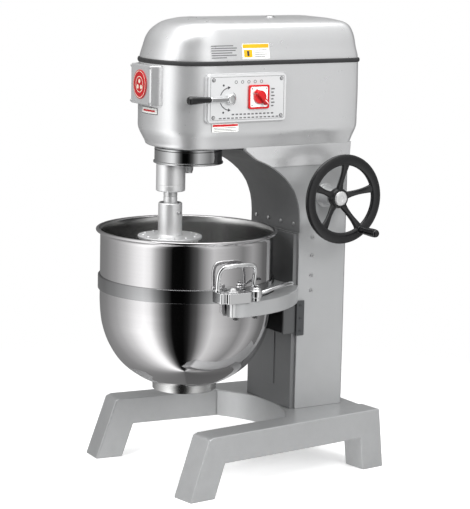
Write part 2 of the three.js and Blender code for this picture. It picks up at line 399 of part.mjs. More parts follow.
add("screw_foot_bearing", cut(box(-42, 42, 110, 182, COL.bottom, 190), cyl("z", 0, SHAFT_Y, 171, 200, 11.8, 11.8, 28)), 0x808284, 0.6, 0.5);
add("screw_top_bearing", cut(box(-96.6, 96.6, 83.6, 208.8, 636, 648), cyl("z", 0, SHAFT_Y, 630, 655, 14, 14, 28)), 0x808284, 0.6, 0.5);
const bevelA = bevelWheel(BEVEL.m, BEVEL.z, 0, BEVEL.face); bevelA.translate(0, SHAFT_Y, SHAFT_Z);
add("screw_bevel_gear", cut(join(solid(bevelA), cyl("z", 0, SHAFT_Y, 652.3, 662, 21, 21, 16)), cyl("z", 0, SHAFT_Y, 640, 700, 11.8, 11.8, 16)), 0x8a8c8e, 0.9, 0.4);
const bevelB = bevelWheel(BEVEL.m, BEVEL.z, Math.PI + Math.PI / BEVEL.z, BEVEL.face); bevelB.rotateY(-Math.PI / 2); bevelB.translate(0, SHAFT_Y, SHAFT_Z);
add("shaft_bevel_gear", cut(join(solid(bevelB), cyl("x", SHAFT_Y, SHAFT_Z, 35, 46, 21, 21, 16)), cyl("x", SHAFT_Y, SHAFT_Z, 0, 60, 10.4, 10.4, 16)), 0x8a8c8e, 0.9, 0.4);
add("handwheel_shaft", cyl("x", SHAFT_Y, SHAFT_Z, 24, 176, 10, 10, 16), 0xb0b2b4, 0.9, 0.3);
add("handwheel_boss", turnedX([[10.4, COL.hw + GAP], [30, COL.hw + GAP], [30, 114], [23, 116], [20, 148], [10.4, 148], [10.4, COL.hw + GAP]], SHAFT_Y, SHAFT_Z, 20), 0x9a9c9e, 0.6, 0.4);

// ---------- handwheel ----------
const R = WHEEL;
let wheel = turnedX([[R.ri, R.rimX], [R.ri + 5, R.rimX - 7], [R.r - 6, R.rimX - 7], [R.r, R.rimX], [R.r - 6, R.rimX + 7], [R.ri + 5, R.rimX + 7], [R.ri, R.rimX]], 0, 0, 28);
wheel = join(wheel, cyl("x", 0, 0, R.hubX, R.capX - GAP, 26, 24, 20));
for (let i = 0; i < 5; i++) {
  const pos = [];
  for (const [r, x, w] of [[16, 169, 12], [R.ri + 6, R.rimX - 1, 9]]) for (const [dx, dw] of [[-5, -w], [5, -w], [5, w], [-5, w]]) pos.push(x + dx, r, dw);
  const idx = [0, 1, 2, 0, 2, 3, 4, 6, 5, 4, 7, 6, 0, 5, 1, 0, 4, 5, 1, 6, 2, 1, 5, 6, 2, 7, 3, 2, 6, 7, 3, 4, 0, 3, 7, 4];
  const g = new THREE.BufferGeometry(); g.setAttribute("position", new THREE.Float32BufferAttribute(pos, 3)); g.setIndex(idx);
  g.rotateX(R.gripA + i * 2 * Math.PI / 5);
  wheel = join(wheel, solid(g));
}
const gy = R.grip * Math.cos(R.gripA), gz = R.grip * Math.sin(R.gripA);
wheel = join(wheel, cyl("x", gy, gz, R.rimX - 5, R.rimX + 8.3, 11, 11, 16));
wheel = cut(wheel, cyl("x", 0, 0, 150, 200, 10.4, 10.4, 16), cyl("x", gy, gz, R.rimX - 3, 210, 5.3, 5.3, 12));
add("handwheel", wheel.translate([0, SHAFT_Y, SHAFT_Z]), 0x17181a, 0.1, 0.3);
add("hub_cap", turnedX([[0, R.capX], [18, R.capX], [18, R.capX + 2], [15, R.capX + 4.5], [0, R.capX + 4.5], [0, R.capX]], SHAFT_Y, SHAFT_Z, 20), 0xc0c2c4, 0.9, 0.3);
add("crank_spindle", cyl("x", SHAFT_Y + gy, SHAFT_Z + gz, R.rimX - 2.7, 252, 5, 5, 12), 0xb0b2b4, 0.9, 0.3);
add("crank_grip", cut(turnedX([[0, R.rimX + 8.8], [9, R.rimX + 8.8], [10.5, R.rimX + 12], [10.5, 258], [9, 263], [5, 264.8], [0, 264.8], [0, R.rimX + 8.8]], SHAFT_Y + gy, SHAFT_Z + gz, 16), cyl("x", SHAFT_Y + gy, SHAFT_Z + gz, 190, 252.3, 5.3, 5.3, 12)), 0x141516, 0.0, 0.3);

// ---------- bowl clamps on the yoke ----------
const CL = { x: 243, y: -138 };
const clamp = join(cyl("z", CL.x, CL.y, YOKE.z1 + GAP, 505, 12.5, 12.5, 20), cyl("z", CL.x, CL.y - 4, 484, 500, 15, 15, 20),
  tube([[CL.x + 2, CL.y + 4, 494], [CL.x + 6, CL.y + 24, 497], [CL.x - 2, CL.y + 62, 503], [CL.x - 22, CL.y + 102, 503], [CL.x - 48, CL.y + 134, 498]], 4.2, 10, 7));
add("clamp_lever_right", clamp, 0xd0d2d4, 1.0, 0.1);
add("clamp_lever_left", mirrorX(clamp), 0xd0d2d4, 1.0, 0.1);

// ---------- bowl ----------
const B = BOWL;
const outer = [[0, 227], [62, 228.4], [92, 239], [130, 260.5], [164, 290], [192, 334], [208, 381], [B.r, 430], [B.r, 608]];
const inner = outer.map(([r, z], i) => i < 4 ? [Math.max(0, r - (i ? 1.4 : 0)), z + 2.4] : i < 7 ? [r - 2.3, z + 1.0] : [r - B.wall, z]).reverse();
const bead = [[B.rRim - 2, 610], [B.rRim, 615], [B.r + 3, B.rim]];
add("bowl", turned([...outer, ...bead, ...inner, [0, 227]], 0, AXIS_Y, 32), 0xc9cbcd, 1.0, 0.15);
add("bowl_foot", turned([[76.6, B.foot], [80, B.foot], [80, 234.2], [76.6, 233.0], [76.6, B.foot]], 0, AXIS_Y, 32), 0xc9cbcd, 1.0, 0.2);
const ear = cut(box(212, 262, -242, -162, YOKE.z1 + 0.6, 500), cyl("z", 0, AXIS_Y, 460, 520, BAND.r - 3, BAND.r - 3, 32), cyl("z", 243, -205, 460, 520, 8.5, 8.5, 12));
const earR = cut(ear, box(250, 270, -260, -228, 460, 520));
add("bowl_band", join(turned([[B.r + GAP, BAND.z0], [BAND.r, BAND.z0], [BAND.r, BAND.z1], [B.r + GAP, BAND.z1], [B.r + GAP, BAND.z0]], 0, AXIS_Y, 32),
  ...[earR, mirrorX(earR)].map(e => e.subtract(cyl("z", 0, AXIS_Y, 460, 520, B.r + 2.5, B.r + 2.5, 32)))), 0xcfd1d3, 1.0, 0.12);
const hz = BAND.z1 + 0.4;
const handle = tube([[224, AXIS_Y - 46, hz], [227, AXIS_Y - 47, 530], [231, AXIS_Y - 47, 549], [236, AXIS_Y - 40, 559], [240, AXIS_Y - 20, 563], [241, AXIS_Y + 4, 563], [240, AXIS_Y + 28, 563], [236, AXIS_Y + 48, 559], [231, AXIS_Y + 55, 549], [227, AXIS_Y + 55, 530], [224, AXIS_Y + 54, hz]], 5, 18, 7);
add("bowl_handle_right", handle.subtract(cyl("z", 0, AXIS_Y, 480, 700, B.r + 0.6, B.r + 0.6, 32)), 0xcfd1d3, 1.0, 0.12);
add("bowl_handle_left", mirrorX(handle.subtract(cyl("z", 0, AXIS_Y, 480, 700, B.r + 0.6, B.r + 0.6, 32))), 0xcfd1d3, 1.0, 0.12);

export default group;
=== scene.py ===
import bpy, bmesh, json, math
from mathutils import Vector, Matrix

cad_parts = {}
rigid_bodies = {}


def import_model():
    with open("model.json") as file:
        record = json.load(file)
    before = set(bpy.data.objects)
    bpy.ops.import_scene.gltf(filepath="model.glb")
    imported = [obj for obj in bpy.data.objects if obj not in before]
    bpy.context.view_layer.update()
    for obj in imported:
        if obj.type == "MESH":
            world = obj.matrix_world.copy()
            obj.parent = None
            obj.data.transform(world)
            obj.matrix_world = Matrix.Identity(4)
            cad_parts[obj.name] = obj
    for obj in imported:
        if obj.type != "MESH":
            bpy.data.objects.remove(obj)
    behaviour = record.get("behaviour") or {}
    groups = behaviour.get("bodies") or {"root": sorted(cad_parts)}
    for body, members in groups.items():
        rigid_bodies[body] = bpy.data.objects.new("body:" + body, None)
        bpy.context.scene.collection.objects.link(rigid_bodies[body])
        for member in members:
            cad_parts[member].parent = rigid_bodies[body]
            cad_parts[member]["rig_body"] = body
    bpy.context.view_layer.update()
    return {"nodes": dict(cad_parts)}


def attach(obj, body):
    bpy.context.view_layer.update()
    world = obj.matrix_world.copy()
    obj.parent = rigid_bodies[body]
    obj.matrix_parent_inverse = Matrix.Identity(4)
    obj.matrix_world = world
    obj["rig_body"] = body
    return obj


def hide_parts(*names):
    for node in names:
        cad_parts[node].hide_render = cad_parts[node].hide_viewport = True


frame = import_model()
NODES = frame["nodes"]
SH = 64.795                      # the row frame's origin sits this far behind the drawing origin, mm
AX, SP = -190.0, -239.0          # main axis and tool spindle, drawing Y


def mm(p):
    return (p[0] / 1000, (p[1] + SH) / 1000, p[2] / 1000)


# ------------------------------------------------------------------ camera
def camera():
    az, el, roll = math.radians(57.71), math.radians(9.73), math.radians(1.23)
    b = Vector((math.sin(az) * math.cos(el), -math.cos(az) * math.cos(el), math.sin(el)))
    r = Vector((math.cos(az), math.sin(az), 0))
    u = b.cross(r)
    c, s = math.cos(roll), math.sin(roll)
    right, upv = c * r + s * u, -s * r + c * u
    m = Matrix((right, upv, b)).transposed().to_4x4()
    m.translation = Vector((4.392562, -2.758943, 1.433506))
    data = bpy.data.cameras.new("camera")
    data.sensor_fit, data.sensor_width, data.lens = "AUTO", 36, 2096.278 * 36 / 509
    data.clip_end = 60
    o = bpy.data.objects.new("camera", data)
    bpy.context.scene.collection.objects.link(o)
    o.matrix_world = m
    bpy.context.scene.camera = o


camera()


# ------------------------------------------------------------------ materials
def material(name, color, metallic, rough, coat=0.0, coat_rough=0.1, ior=1.5, aniso=0.0):
    m = bpy.data.materials.new(name)
    m.use_nodes = True
    nt = m.node_tree
    b = nt.nodes["Principled BSDF"]
    b.inputs["Metallic"].default_value = metallic
    b.inputs["Roughness"].default_value = rough
    b.inputs["Base Color"].default_value = (*color, 1)
    b.inputs["Coat Weight"].default_value = coat
    b.inputs["Coat Roughness"].default_value = coat_rough
    b.inputs["IOR"].default_value = ior
    b.inputs["Anisotropic"].default_value = aniso
    return m, nt, b


def link(nt, a, ao, b, bi):
    nt.links.new(a.outputs[ao], b.inputs[bi])


def coords(nt, scale=(1, 1, 1), rot=(0, 0, 0), loc=(0, 0, 0)):
    t = nt.nodes.new("ShaderNodeTexCoord")
    mp = nt.nodes.new("ShaderNodeMapping")
    mp.inputs["Scale"].default_value = scale
    mp.inputs["Rotation"].default_value = rot
    mp.inputs["Location"].default_value = loc
    link(nt, t, "Object", mp, "Vector")
    return mp


def noise(nt, mp, scale, detail=3.0, rough=0.5):
    n = nt.nodes.new("ShaderNodeTexNoise")
    n.inputs["Scale"].default_value = scale
    n.inputs["Detail"].default_value = detail
    n.inputs["Roughness"].default_value = rough
    link(nt, mp, "Vector", n, "Vector")
    return n


def ramp(nt, src, out, stops):
    r = nt.nodes.new("ShaderNodeValToRGB")
    e = r.color_ramp.elements
    while len(e) < len(stops):
        e.new(0.5)
    for el, (p, c) in zip(e, stops):
        el.position = p
        el.color = (c, c, c, 1) if isinstance(c, (int, float)) else (*c, 1)
    link(nt, src, out, r, "Fac")
    return r


def remap(nt, src, out, lo, hi):
    r = nt.nodes.new("ShaderNodeMapRange")
    r.inputs["To Min"].default_value = lo
    r.inputs["To Max"].default_value = hi
    link(nt, src, out, r, "Value")
    return r


def mixc(nt, mode, fac, a, b):
    m = nt.nodes.new("ShaderNodeMix")
    m.data_type, m.blend_type = "RGBA", mode
    for sock, v in ((m.inputs[0], fac), (m.inputs[6], a), (m.inputs[7], b)):
        if isinstance(v, tuple) and hasattr(v[0], "outputs"):
            nt.links.new(v[0].outputs[v[1]], sock)
        elif isinstance(v, (int, float)):
            sock.default_value = v
        else:
            sock.default_value = (*v, 1)
    return m


def bump(nt, b, src, out, strength, dist, prev=None):
    n = nt.nodes.new("ShaderNodeBump")
    n.inputs["Strength"].default_value = strength
    n.inputs["Distance"].default_value = dist
    link(nt, src, out, n, "Height")
    if prev:
        link(nt, prev, "Normal", n, "Normal")
    link(nt, n, "Normal", b, "Normal")
    return n


def enamel(name, color, metallic, rough, coat, dirt=0.12, flake=0.07):
    """Sprayed metallic enamel: fine flake, slight orange peel, faint dust in broad patches, and painted shade darkening
    it low down towards the floor.
    """
    m, nt, b = material(name, color, metallic, rough, coat, 0.28)
    mp = coords(nt)
    fl = noise(nt, mp, 1400, 1.0)
    fr = ramp(nt, fl, "Fac", [(0.3, 1 - flake), (0.7, 1 + 0.0)])
    big = noise(nt, mp, 5, 4.0, 0.6)
    br = ramp(nt, big, "Fac", [(0.35, 1 - dirt * 0.5), (0.65, 1.0)])
    c1 = mixc(nt, "MULTIPLY", 1.0, color, (fr, "Color"))
    c2 = mixc(nt, "MULTIPLY", 1.0, (c1, 2), (br, "Color"))
    # painted shade: in the lowest 0.3 m the colour is mixed, in noisy patches, towards a darker copy of itself, most at
    # the floor
    t = nt.nodes.new("ShaderNodeTexCoord")
    sep = nt.nodes.new("ShaderNodeSeparateXYZ")
    link(nt, t, "Object", sep, "Vector")
    low = nt.nodes.new("ShaderNodeMapRange")
    for k, v in (("From Min", 0.0), ("From Max", 0.3), ("To Min", 0.3), ("To Max", 0.0)):
        low.inputs[k].default_value = v
    link(nt, sep, "Z", low, "Value")
    sc = noise(nt, mp, 38, 5.0, 0.65)
    dm = nt.nodes.new("ShaderNodeMath"); dm.operation = "MULTIPLY"
    nt.links.new(low.outputs["Result"], dm.inputs[0]); nt.links.new(sc.outputs["Fac"], dm.inputs[1])
    c3 = mixc(nt, "MIX", (dm, "Value"), (c2, 2), tuple(x * 0.35 for x in color))
    link(nt, c3, 2, b, "Base Color")
    rr = remap(nt, noise(nt, mp, 60, 3.0), "Fac", rough - 0.05, rough + 0.07)
    link(nt, rr, "Result", b, "Roughness")
    p1 = bump(nt, b, noise(nt, mp, 120, 2.0), "Fac", 0.03, 0.0004)
    bump(nt, b, fl, "Fac", 0.004, 0.0001, p1)
    return m


def steel(name, color, rough, lines=(3, 3, 900), strength=0.05, smudge=0.05, scale=1.0, center=None, vary=0.03):
    """Polished or brushed steel: fine lines along the work, faint wiping marks."""
    m, nt, b = material(name, color, 1.0, rough)
    mp = coords(nt, lines)
    ln = noise(nt, mp, 1.0 * scale, 2.0)
    plain = coords(nt)
    sm = noise(nt, plain, 14, 4.0, 0.6)
    rr = remap(nt, sm, "Fac", max(rough - smudge, 0.02), rough + smudge)
    link(nt, rr, "Result", b, "Roughness")
    cr = ramp(nt, ln, "Fac", [(0.3, tuple(c * (1 - vary) for c in color)), (0.7, tuple(min(1, c * (1 + vary)) for c in color))])
    link(nt, cr, "Color", b, "Base Color")
    bump(nt, b, ln, "Fac", strength, 0.0004)
    return m


def plastic(name, color, rough, coat=0.0, grain=420, strength=0.08):
    m, nt, b = material(name, color, 0.0, rough, coat, 0.08)
    mp = coords(nt)
    big = ramp(nt, noise(nt, mp, 22, 4.0), "Fac", [(0.3, tuple(c * 0.9 for c in color)), (0.7, tuple(min(1, c * 1.08) for c in color))])
    link(nt, big, "Color", b, "Base Color")
    link(nt, remap(nt, noise(nt, mp, 70, 3.0), "Fac", max(0.03, rough - 0.06), rough + 0.08), "Result", b, "Roughness")
    bump(nt, b, noise(nt, mp, grain, 2.0), "Fac", strength, 0.0003)
    return m


BODY = enamel("enamel_silver", (0.56, 0.567, 0.572), 0.66, 0.35, 0.08)
HEADP = enamel("enamel_head", (0.79, 0.794, 0.80), 0.76, 0.29, 0.08, 0.05)
NECK = enamel("enamel_dark", (0.17, 0.172, 0.175), 0.35, 0.42, 0.2, 0.1)
# painted shade: a darker copy of the silver enamel for the column's front, which lies in the shade of the bowl and head
SHADED_FRONT = enamel("enamel_front_painted_shade", (0.20, 0.203, 0.206), 0.5, 0.4, 0.25, 0.1)
SADDLEM = enamel("enamel_saddle", (0.12, 0.123, 0.125), 0.5, 0.36, 0.3, 0.2)
BOWLO = steel("bowl_polished", (0.62, 0.612, 0.618), 0.065, (5, 5, 700), 0.012, 0.015, vary=0.015)
BOWLI = steel("bowl_inside", (0.66, 0.66, 0.655), 0.24, (5, 5, 520), 0.09, 0.04)
# painted shade: the band is the bowl's polished steel, given a darker colour to stand in for its darker reflections
BAND_SHADED = steel("band_polished_painted_shade", (0.36, 0.362, 0.366), 0.05, (5, 5, 600), 0.015, 0.02, vary=0.015)
DRUMM = steel("drum_plate", (0.60, 0.605, 0.61), 0.04, (4, 4, 300), 0.01, 0.015, vary=0.01)
CHROME = steel("chrome_plate", (0.90, 0.905, 0.91), 0.045, (4, 4, 200), 0.01, 0.015, vary=0.01)
TURNED = steel("steel_turned", (0.90, 0.903, 0.906), 0.40, (6, 6, 1500), 0.12, 0.06)
TURNED.node_tree.nodes["Principled BSDF"].inputs["Metallic"].default_value = 0.82
FACED = steel("steel_faced", (0.66, 0.665, 0.67), 0.3, (900, 6, 6), 0.12, 0.06)
GEAR = steel("steel_gear", (0.42, 0.425, 0.43), 0.33, (60, 60, 60), 0.1, 0.08)
WAY = steel("steel_way", (0.17, 0.175, 0.18), 0.34, (8, 8, 1100), 0.12, 0.07)
# black iron of the saddle, made blacker and duller as painted shade for its shadowed front face
SHADED_IRON = plastic("iron_black_painted_shade", (0.012, 0.012, 0.013), 0.5, 0.05, 300, 0.2)
SHADED_IRON.node_tree.nodes["Principled BSDF"].inputs["Specular IOR Level"].default_value = 0.12
RUBBER = plastic("rubber_black", (0.022, 0.022, 0.023), 0.55, 0.0, 700, 0.15)
GLOSSB = plastic("black_gloss", (0.006, 0.006, 0.0065), 0.14, 0.15, 260, 0.02)
WHEELB = plastic("wheel_black", (0.007, 0.007, 0.0075), 0.22, 0.12, 320, 0.05)
RED = plastic("red_gloss", (0.46, 0.006, 0.009), 0.24, 0.25, 300, 0.02)
REDB = plastic("badge_red", (0.47, 0.008, 0.012), 0.45, 0.0, 300, 0.03)
WHITE = plastic("white_plate", (0.86, 0.86, 0.84), 0.35, 0.0, 300, 0.03)
CREAM = plastic("cream_line", (0.82, 0.74, 0.62), 0.35, 0.2, 300, 0.03)
LABEL = plastic("label_white", (0.80, 0.80, 0.77), 0.45, 0.0, 500, 0.03)
YELLOW = plastic("label_yellow", (0.55, 0.31, 0.008), 0.5, 0.0, 500, 0.03)
INK = plastic("ink_dark", (0.03, 0.03, 0.035), 0.5, 0.0, 500, 0.02)
INKG = plastic("ink_grey", (0.11, 0.11, 0.115), 0.5, 0.0, 500, 0.02)
BRONZE = steel("bronze", (0.50, 0.34, 0.14), 0.34, (8, 8, 800), 0.1, 0.06)
MOTORP = enamel("enamel_motor", (0.08, 0.11, 0.15), 0.2, 0.42, 0.2)
PANELM = enamel("panel_satin", (0.74, 0.745, 0.75), 0.5, 0.33, 0.1, 0.05)
DARK = plastic("shadow_gap", (0.01, 0.01, 0.01), 0.8, 0.0, 300, 0.05)


# ------------------------------------------------------------------ mesh tools
def finish_mesh(o, body, smooth=32, bevel=0.0, seg=3, angle=32, weighted=True, replaces=(), slot=None):
    me = o.data
    bm = bmesh.new(); bm.from_mesh(me)
    bmesh.ops.remove_doubles(bm, verts=bm.verts, dist=2e-6)
    bmesh.ops.recalc_face_normals(bm, faces=bm.faces)
    bm.to_mesh(me); bm.free()
    for p in me.polygons:
        p.use_smooth = True
    me.set_sharp_from_angle(angle=math.radians(smooth))
    if bevel:
        m = o.modifiers.new("edge", "BEVEL")
        m.width, m.segments, m.limit_method, m.angle_limit = bevel / 1000, seg, "ANGLE", math.radians(angle)
        m.use_clamp_overlap = True
        m.harden_normals = False
        if weighted:
            w = o.modifiers.new("normals", "WEIGHTED_NORMAL"); w.keep_sharp = True; w.weight = 60
    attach(o, body)
    if replaces:
        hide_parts(*replaces)
    return o


def new(name, verts, faces, mat, body, raw=False, **kw):
    me = bpy.data.meshes.new(name)
    me.from_pydata([v if raw else mm(v) for v in verts], [], faces)
    me.materials.append(mat)
    o = bpy.data.objects.new(name, me)
    bpy.context.scene.collection.objects.link(o)
    return finish_mesh(o, body, **kw)


def refine(node, mat, bevel, body=None, name=None, seg=3, angle=32, smooth=32, slot=None):
    """A CAD solid's own form with its triangles joined into clean faces and its edges softened."""
    src = NODES[node]
    bm = bmesh.new(); bm.from_mesh(src.data)
    bmesh.ops.remove_doubles(bm, verts=bm.verts, dist=2e-5)
    bmesh.ops.dissolve_limit(bm, angle_limit=math.radians(0.6), verts=bm.verts, edges=bm.edges)
    me = bpy.data.meshes.new(name or node + "_fine"); bm.to_mesh(me); bm.free()
    me.materials.clear(); me.materials.append(mat)
    o = bpy.data.objects.new(name or node + "_fine", me)
    bpy.context.scene.collection.objects.link(o)
    return finish_mesh(o, body or src["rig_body"], smooth=smooth, bevel=bevel, seg=seg, angle=angle, replaces=(node,), slot=slot)


def fillet(pts, r, n=4, closed=False):
    """Rounds the corners of a 2-D line."""
    out, k = [], len(pts)
    for i, p in enumerate(pts):
        if not closed and i in (0, k - 1):
            out.append(tuple(p)); continue
        a, b, c = Vector(pts[i - 1]), Vector(p), Vector(pts[(i + 1) % k])
        rr = r[i] if isinstance(r, (list, tuple)) else r
        u, v = (a - b), (c - b)
        if u.length < 1e-6 or v.length < 1e-6 or rr <= 0:
            out.append(tuple(p)); continue
        d = min(rr, u.length * 0.45, v.length * 0.45)
        s, e = b + u.normalized() * d, b + v.normalized() * d
        for j in range(n + 1):
            t = j / n
            q = s * (1 - t) ** 2 + b * 2 * t * (1 - t) + e * t * t
            out.append((q.x, q.y))
    return out


def lathe(name, prof, x, y, mat, body, seg=128, closed=True, axis="z", **kw):
    """prof: (radius, height) about a vertical line at x, y, or for axis x about the line at y=x, z=y."""
    verts, faces, n = [], [], len(prof)
    for i in range(seg):
        a = 2 * math.pi * i / seg
        for r, h in prof:
            if axis == "z":
                verts.append((x + r * math.cos(a), y + r * math.sin(a), h))
            elif axis == "x":
                verts.append((h, x + r * math.cos(a), y + r * math.sin(a)))
            else:
                verts.append((x + r * math.cos(a), h, y + r * math.sin(a)))
    for i in range(seg):
        j = (i + 1) % seg
        for k in range(n if closed else n - 1):
            l = (k + 1) % n
            faces.append((i * n + k, j * n + k, j * n + l, i * n + l))
    return new(name, verts, faces, mat, body, **kw)


def smooth_line(pts, per=10, closed=False):
    """Centripetal curve through points, any dimension."""
    P = [Vector(p) for p in pts]
    n, out = len(P), []
    rng = range(n) if closed else range(n - 1)
    for i in rng:
        p0 = P[(i - 1) % n] if closed or i > 0 else P[0] * 2 - P[1]
        p1, p2 = P[i], P[(i + 1) % n]
        p3 = P[(i + 2) % n] if closed or i + 2 < n else P[-1] * 2 - P[-2]
        t0 = 0.0
        t1 = t0 + max((p1 - p0).length, 1e-6) ** 0.5
        t2 = t1 + max((p2 - p1).length, 1e-6) ** 0.5
        t3 = t2 + max((p3 - p2).length, 1e-6) ** 0.5
        for k in range(per):
            t = t1 + (t2 - t1) * k / per
            a1 = p0 * ((t1 - t) / (t1 - t0)) + p1 * ((t - t0) / (t1 - t0))
            a2 = p1 * ((t2 - t) / (t2 - t1)) + p2 * ((t - t1) / (t2 - t1))
            a3 = p2 * ((t3 - t) / (t3 - t2)) + p3 * ((t - t2) / (t3 - t2))
            b1 = a1 * ((t2 - t) / (t2 - t0)) + a2 * ((t - t0) / (t2 - t0))
            b2 = a2 * ((t3 - t) / (t3 - t1)) + a3 * ((t - t1) / (t3 - t1))
            out.append(b1 * ((t2 - t) / (t2 - t1)) + b2 * ((t - t1) / (t2 - t1)))
    if not closed:
        out.append(P[-1])
    return out


def rod(name, pts, r, mat, body, sides=20, per=10, radii=None, mesh=None, **kw):
    """A round bar along a smooth line, with rounded ends."""
    L = smooth_line(pts, per) if per else [Vector(p) for p in pts]
    n = len(L)
    R = [r] * n if radii is None else [radii(i / (n - 1)) for i in range(n)]
    T = [(L[min(i + 1, n - 1)] - L[max(i - 1, 0)]).normalized() for i in range(n)]
    ref = Vector((0, 0, 1)) if abs(T[0].z) < 0.9 else Vector((1, 0, 0))
    N = (ref - T[0] * ref.dot(T[0])).normalized()
    rings, frames = [], []
    for i in range(n):
        if i:
            q = T[i - 1].rotation_difference(T[i]); N = q @ N
        frames.append((L[i], T[i], N.copy(), R[i]))
    ends0 = [(frames[0][0] - frames[0][1] * 0 + frames[0][1] * (R[0] * (1 - math.cos(a)) * 0.6), frames[0][1], frames[0][2], R[0] * math.sin(a)) for a in (0.35, 0.8, 1.2)]
    ends1 = [(frames[-1][0] - frames[-1][1] * (R[-1] * (1 - math.cos(a)) * 0.6), frames[-1][1], frames[-1][2], R[-1] * math.sin(a)) for a in (1.2, 0.8, 0.35)]
    body_frames = [f for f in frames[1:-1]]
    allf = ends0 + body_frames + ends1
    verts, faces = [], []
    for p, t, nn, rr in allf:
        bb = t.cross(nn)
        for k in range(sides):
            a = 2 * math.pi * k / sides
            verts.append(tuple(p + nn * (rr * math.cos(a)) + bb * (rr * math.sin(a))))
    for i in range(len(allf) - 1):
        for k in range(sides):
            l = (k + 1) % sides
            faces.append((i * sides + k, i * sides + l, (i + 1) * sides + l, (i + 1) * sides + k))
    faces.append(tuple(range(sides - 1, -1, -1)))
    m = (len(allf) - 1) * sides
    faces.append(tuple(range(m, m + sides)))
    if mesh is not None:
        base = len(mesh[0])
        mesh[0].extend(verts)
        mesh[1].extend(tuple(base + i for i in f) for f in faces)
        return None
    return new(name, verts, faces, mat, body, **kw)


def extrude(name, outline, a, b, plane, mat, body, bevel=1.0, **kw):
    """outline in the named plane: xy raised in z, yz pulled in x, xz pulled in y."""
    n = len(outline)
    place = {"xy": lambda u, v, w: (u, v, w), "yz": lambda u, v, w: (w, u, v), "xz": lambda u, v, w: (u, w, v)}[plane]
    verts = [place(u, v, a) for u, v in outline] + [place(u, v, b) for u, v in outline]
    faces = [tuple(range(n)), tuple(range(2 * n - 1, n - 1, -1))] + [(i, (i + 1) % n, n + (i + 1) % n, n + i) for i in range(n)]
    return new(name, verts, faces, mat, body, bevel=bevel, **kw)


def rrect(x0, x1, y0, y1, r, n=6):
    out = []
    for cx, cy, q in ((x1 - r, y1 - r, 0), (x0 + r, y1 - r, 1), (x0 + r, y0 + r, 2), (x1 - r, y0 + r, 3)):
        for i in range(n + 1):
            t = (q + i / n) * math.pi / 2
            out.append((cx + r * math.cos(t), cy + r * math.sin(t)))
    return out


def rings(name, sections, mat, body, cap0=True, cap1=True, **kw):
    n = len(sections[0])
    verts = [p for s in sections for p in s]
    faces = []
    for k in range(len(sections) - 1):
        for i in range(n):
            j = (i + 1) % n
            faces.append((k * n + i, k * n + j, (k + 1) * n + j, (k + 1) * n + i))
    if cap0:
        faces.append(tuple(range(n - 1, -1, -1)))
    if cap1:
        m = (len(sections) - 1) * n
        faces.append(tuple(range(m, m + n)))
    return new(name, verts, faces, mat, body, **kw)


def bolt(name, c, axis, r, h, mat, body, kind="pan"):
    """A small fixing at c, its head toward axis ('+x', '-y', '-z' ...): pan head, socket head or hexagon."""
    s = 1 if axis[0] == "+" else -1
    ax = axis[1]
    prof = fillet([(0, 0), (r, 0), (r, h * 0.55), (r * 0.72, h), (0, h)], h * 0.3, 3)
    seg = 6 if kind == "hex" else 24
    verts, faces = [], []
    if kind == "hex":
        prof = [(0, 0), (r, 0), (r, h * 0.85), (r * 0.86, h), (0, h)]
    if kind == "socket":
        prof = fillet([(0, 0), (r, 0), (r, h), (r * 0.55, h), (r * 0.55, h * 0.35), (0, h * 0.35)], h * 0.12, 3)
    n = len(prof)
    for i in range(seg):
        a = 2 * math.pi * i / seg
        for q, w in prof:
            d = (q * math.cos(a), q * math.sin(a), s * w)
            v = {"x": (d[2], d[0], d[1]), "y": (d[0], d[2], d[1]), "z": (d[0], d[1], d[2])}[ax]
            verts.append((c[0] + v[0], c[1] + v[1], c[2] + v[2]))
    for i in range(seg):
        j = (i + 1) % seg
        for k in range(n - 1):
            faces.append((i * n + k, j * n + k, j * n + k + 1, i * n + k + 1))
    return new(name, verts, faces, mat, body, smooth=40)


# ------------------------------------------------------------------ base and column
refine("base_frame", BODY, 3.2, seg=4, slot="silver_paint")
refine("column", BODY, 2.6, seg=3, slot="silver_paint")
refine("rear_cover", BODY, 0.8, seg=2, slot="silver_paint")
for i, (x, z) in enumerate([(-70, 260), (70, 260), (-70, 475), (70, 475), (-70, 692), (70, 692)]):
    bolt("rear_screw_%d" % i, (x, 222.2, z), "+y", 4.2, 2.2, FACED, "frame")
lathe("gland_nut", fillet([(6, -2), (14, -2), (14, 8), (11.5, 10), (10, 19.5), (6, 19.5)], 0.9, 3, True), 62, 215, RUBBER, "frame", 48, axis="y", replaces=("cable_gland",), slot="rubber_black")
bpy.data.objects["gland_nut"].data.transform(Matrix.Translation((0, (219.5) / 1000, 0)))

# foot weld beads and levelling pads under the four feet are out of sight; socket screws down both sides of the column
for i, z in enumerate((591.7, 545.7, 494.8, 456.2)):
    bolt("gib_screw_%d" % i, (107.0, 112.5, z), "+x", 4.6, 2.4, FACED, "frame", "socket")
    bolt("gib_screw_left_%d" % i, (-107.0, 112.5, z), "-x", 4.6, 2.4, FACED, "frame", "socket")

# slide plate in the painted-shade copy of the silver enamel
refine("slide_ways", SHADED_FRONT, 0.8, seg=2, slot="silver_paint")
refine("neck_cover", NECK, 0.5, seg=2, angle=50, slot="dark_paint")
for i, x in enumerate((-86, -29, 29, 86)):
    bolt("neck_screw_%d" % i, (x, 69.2, 626), "-y", 5.0, 2.6, FACED, "frame")


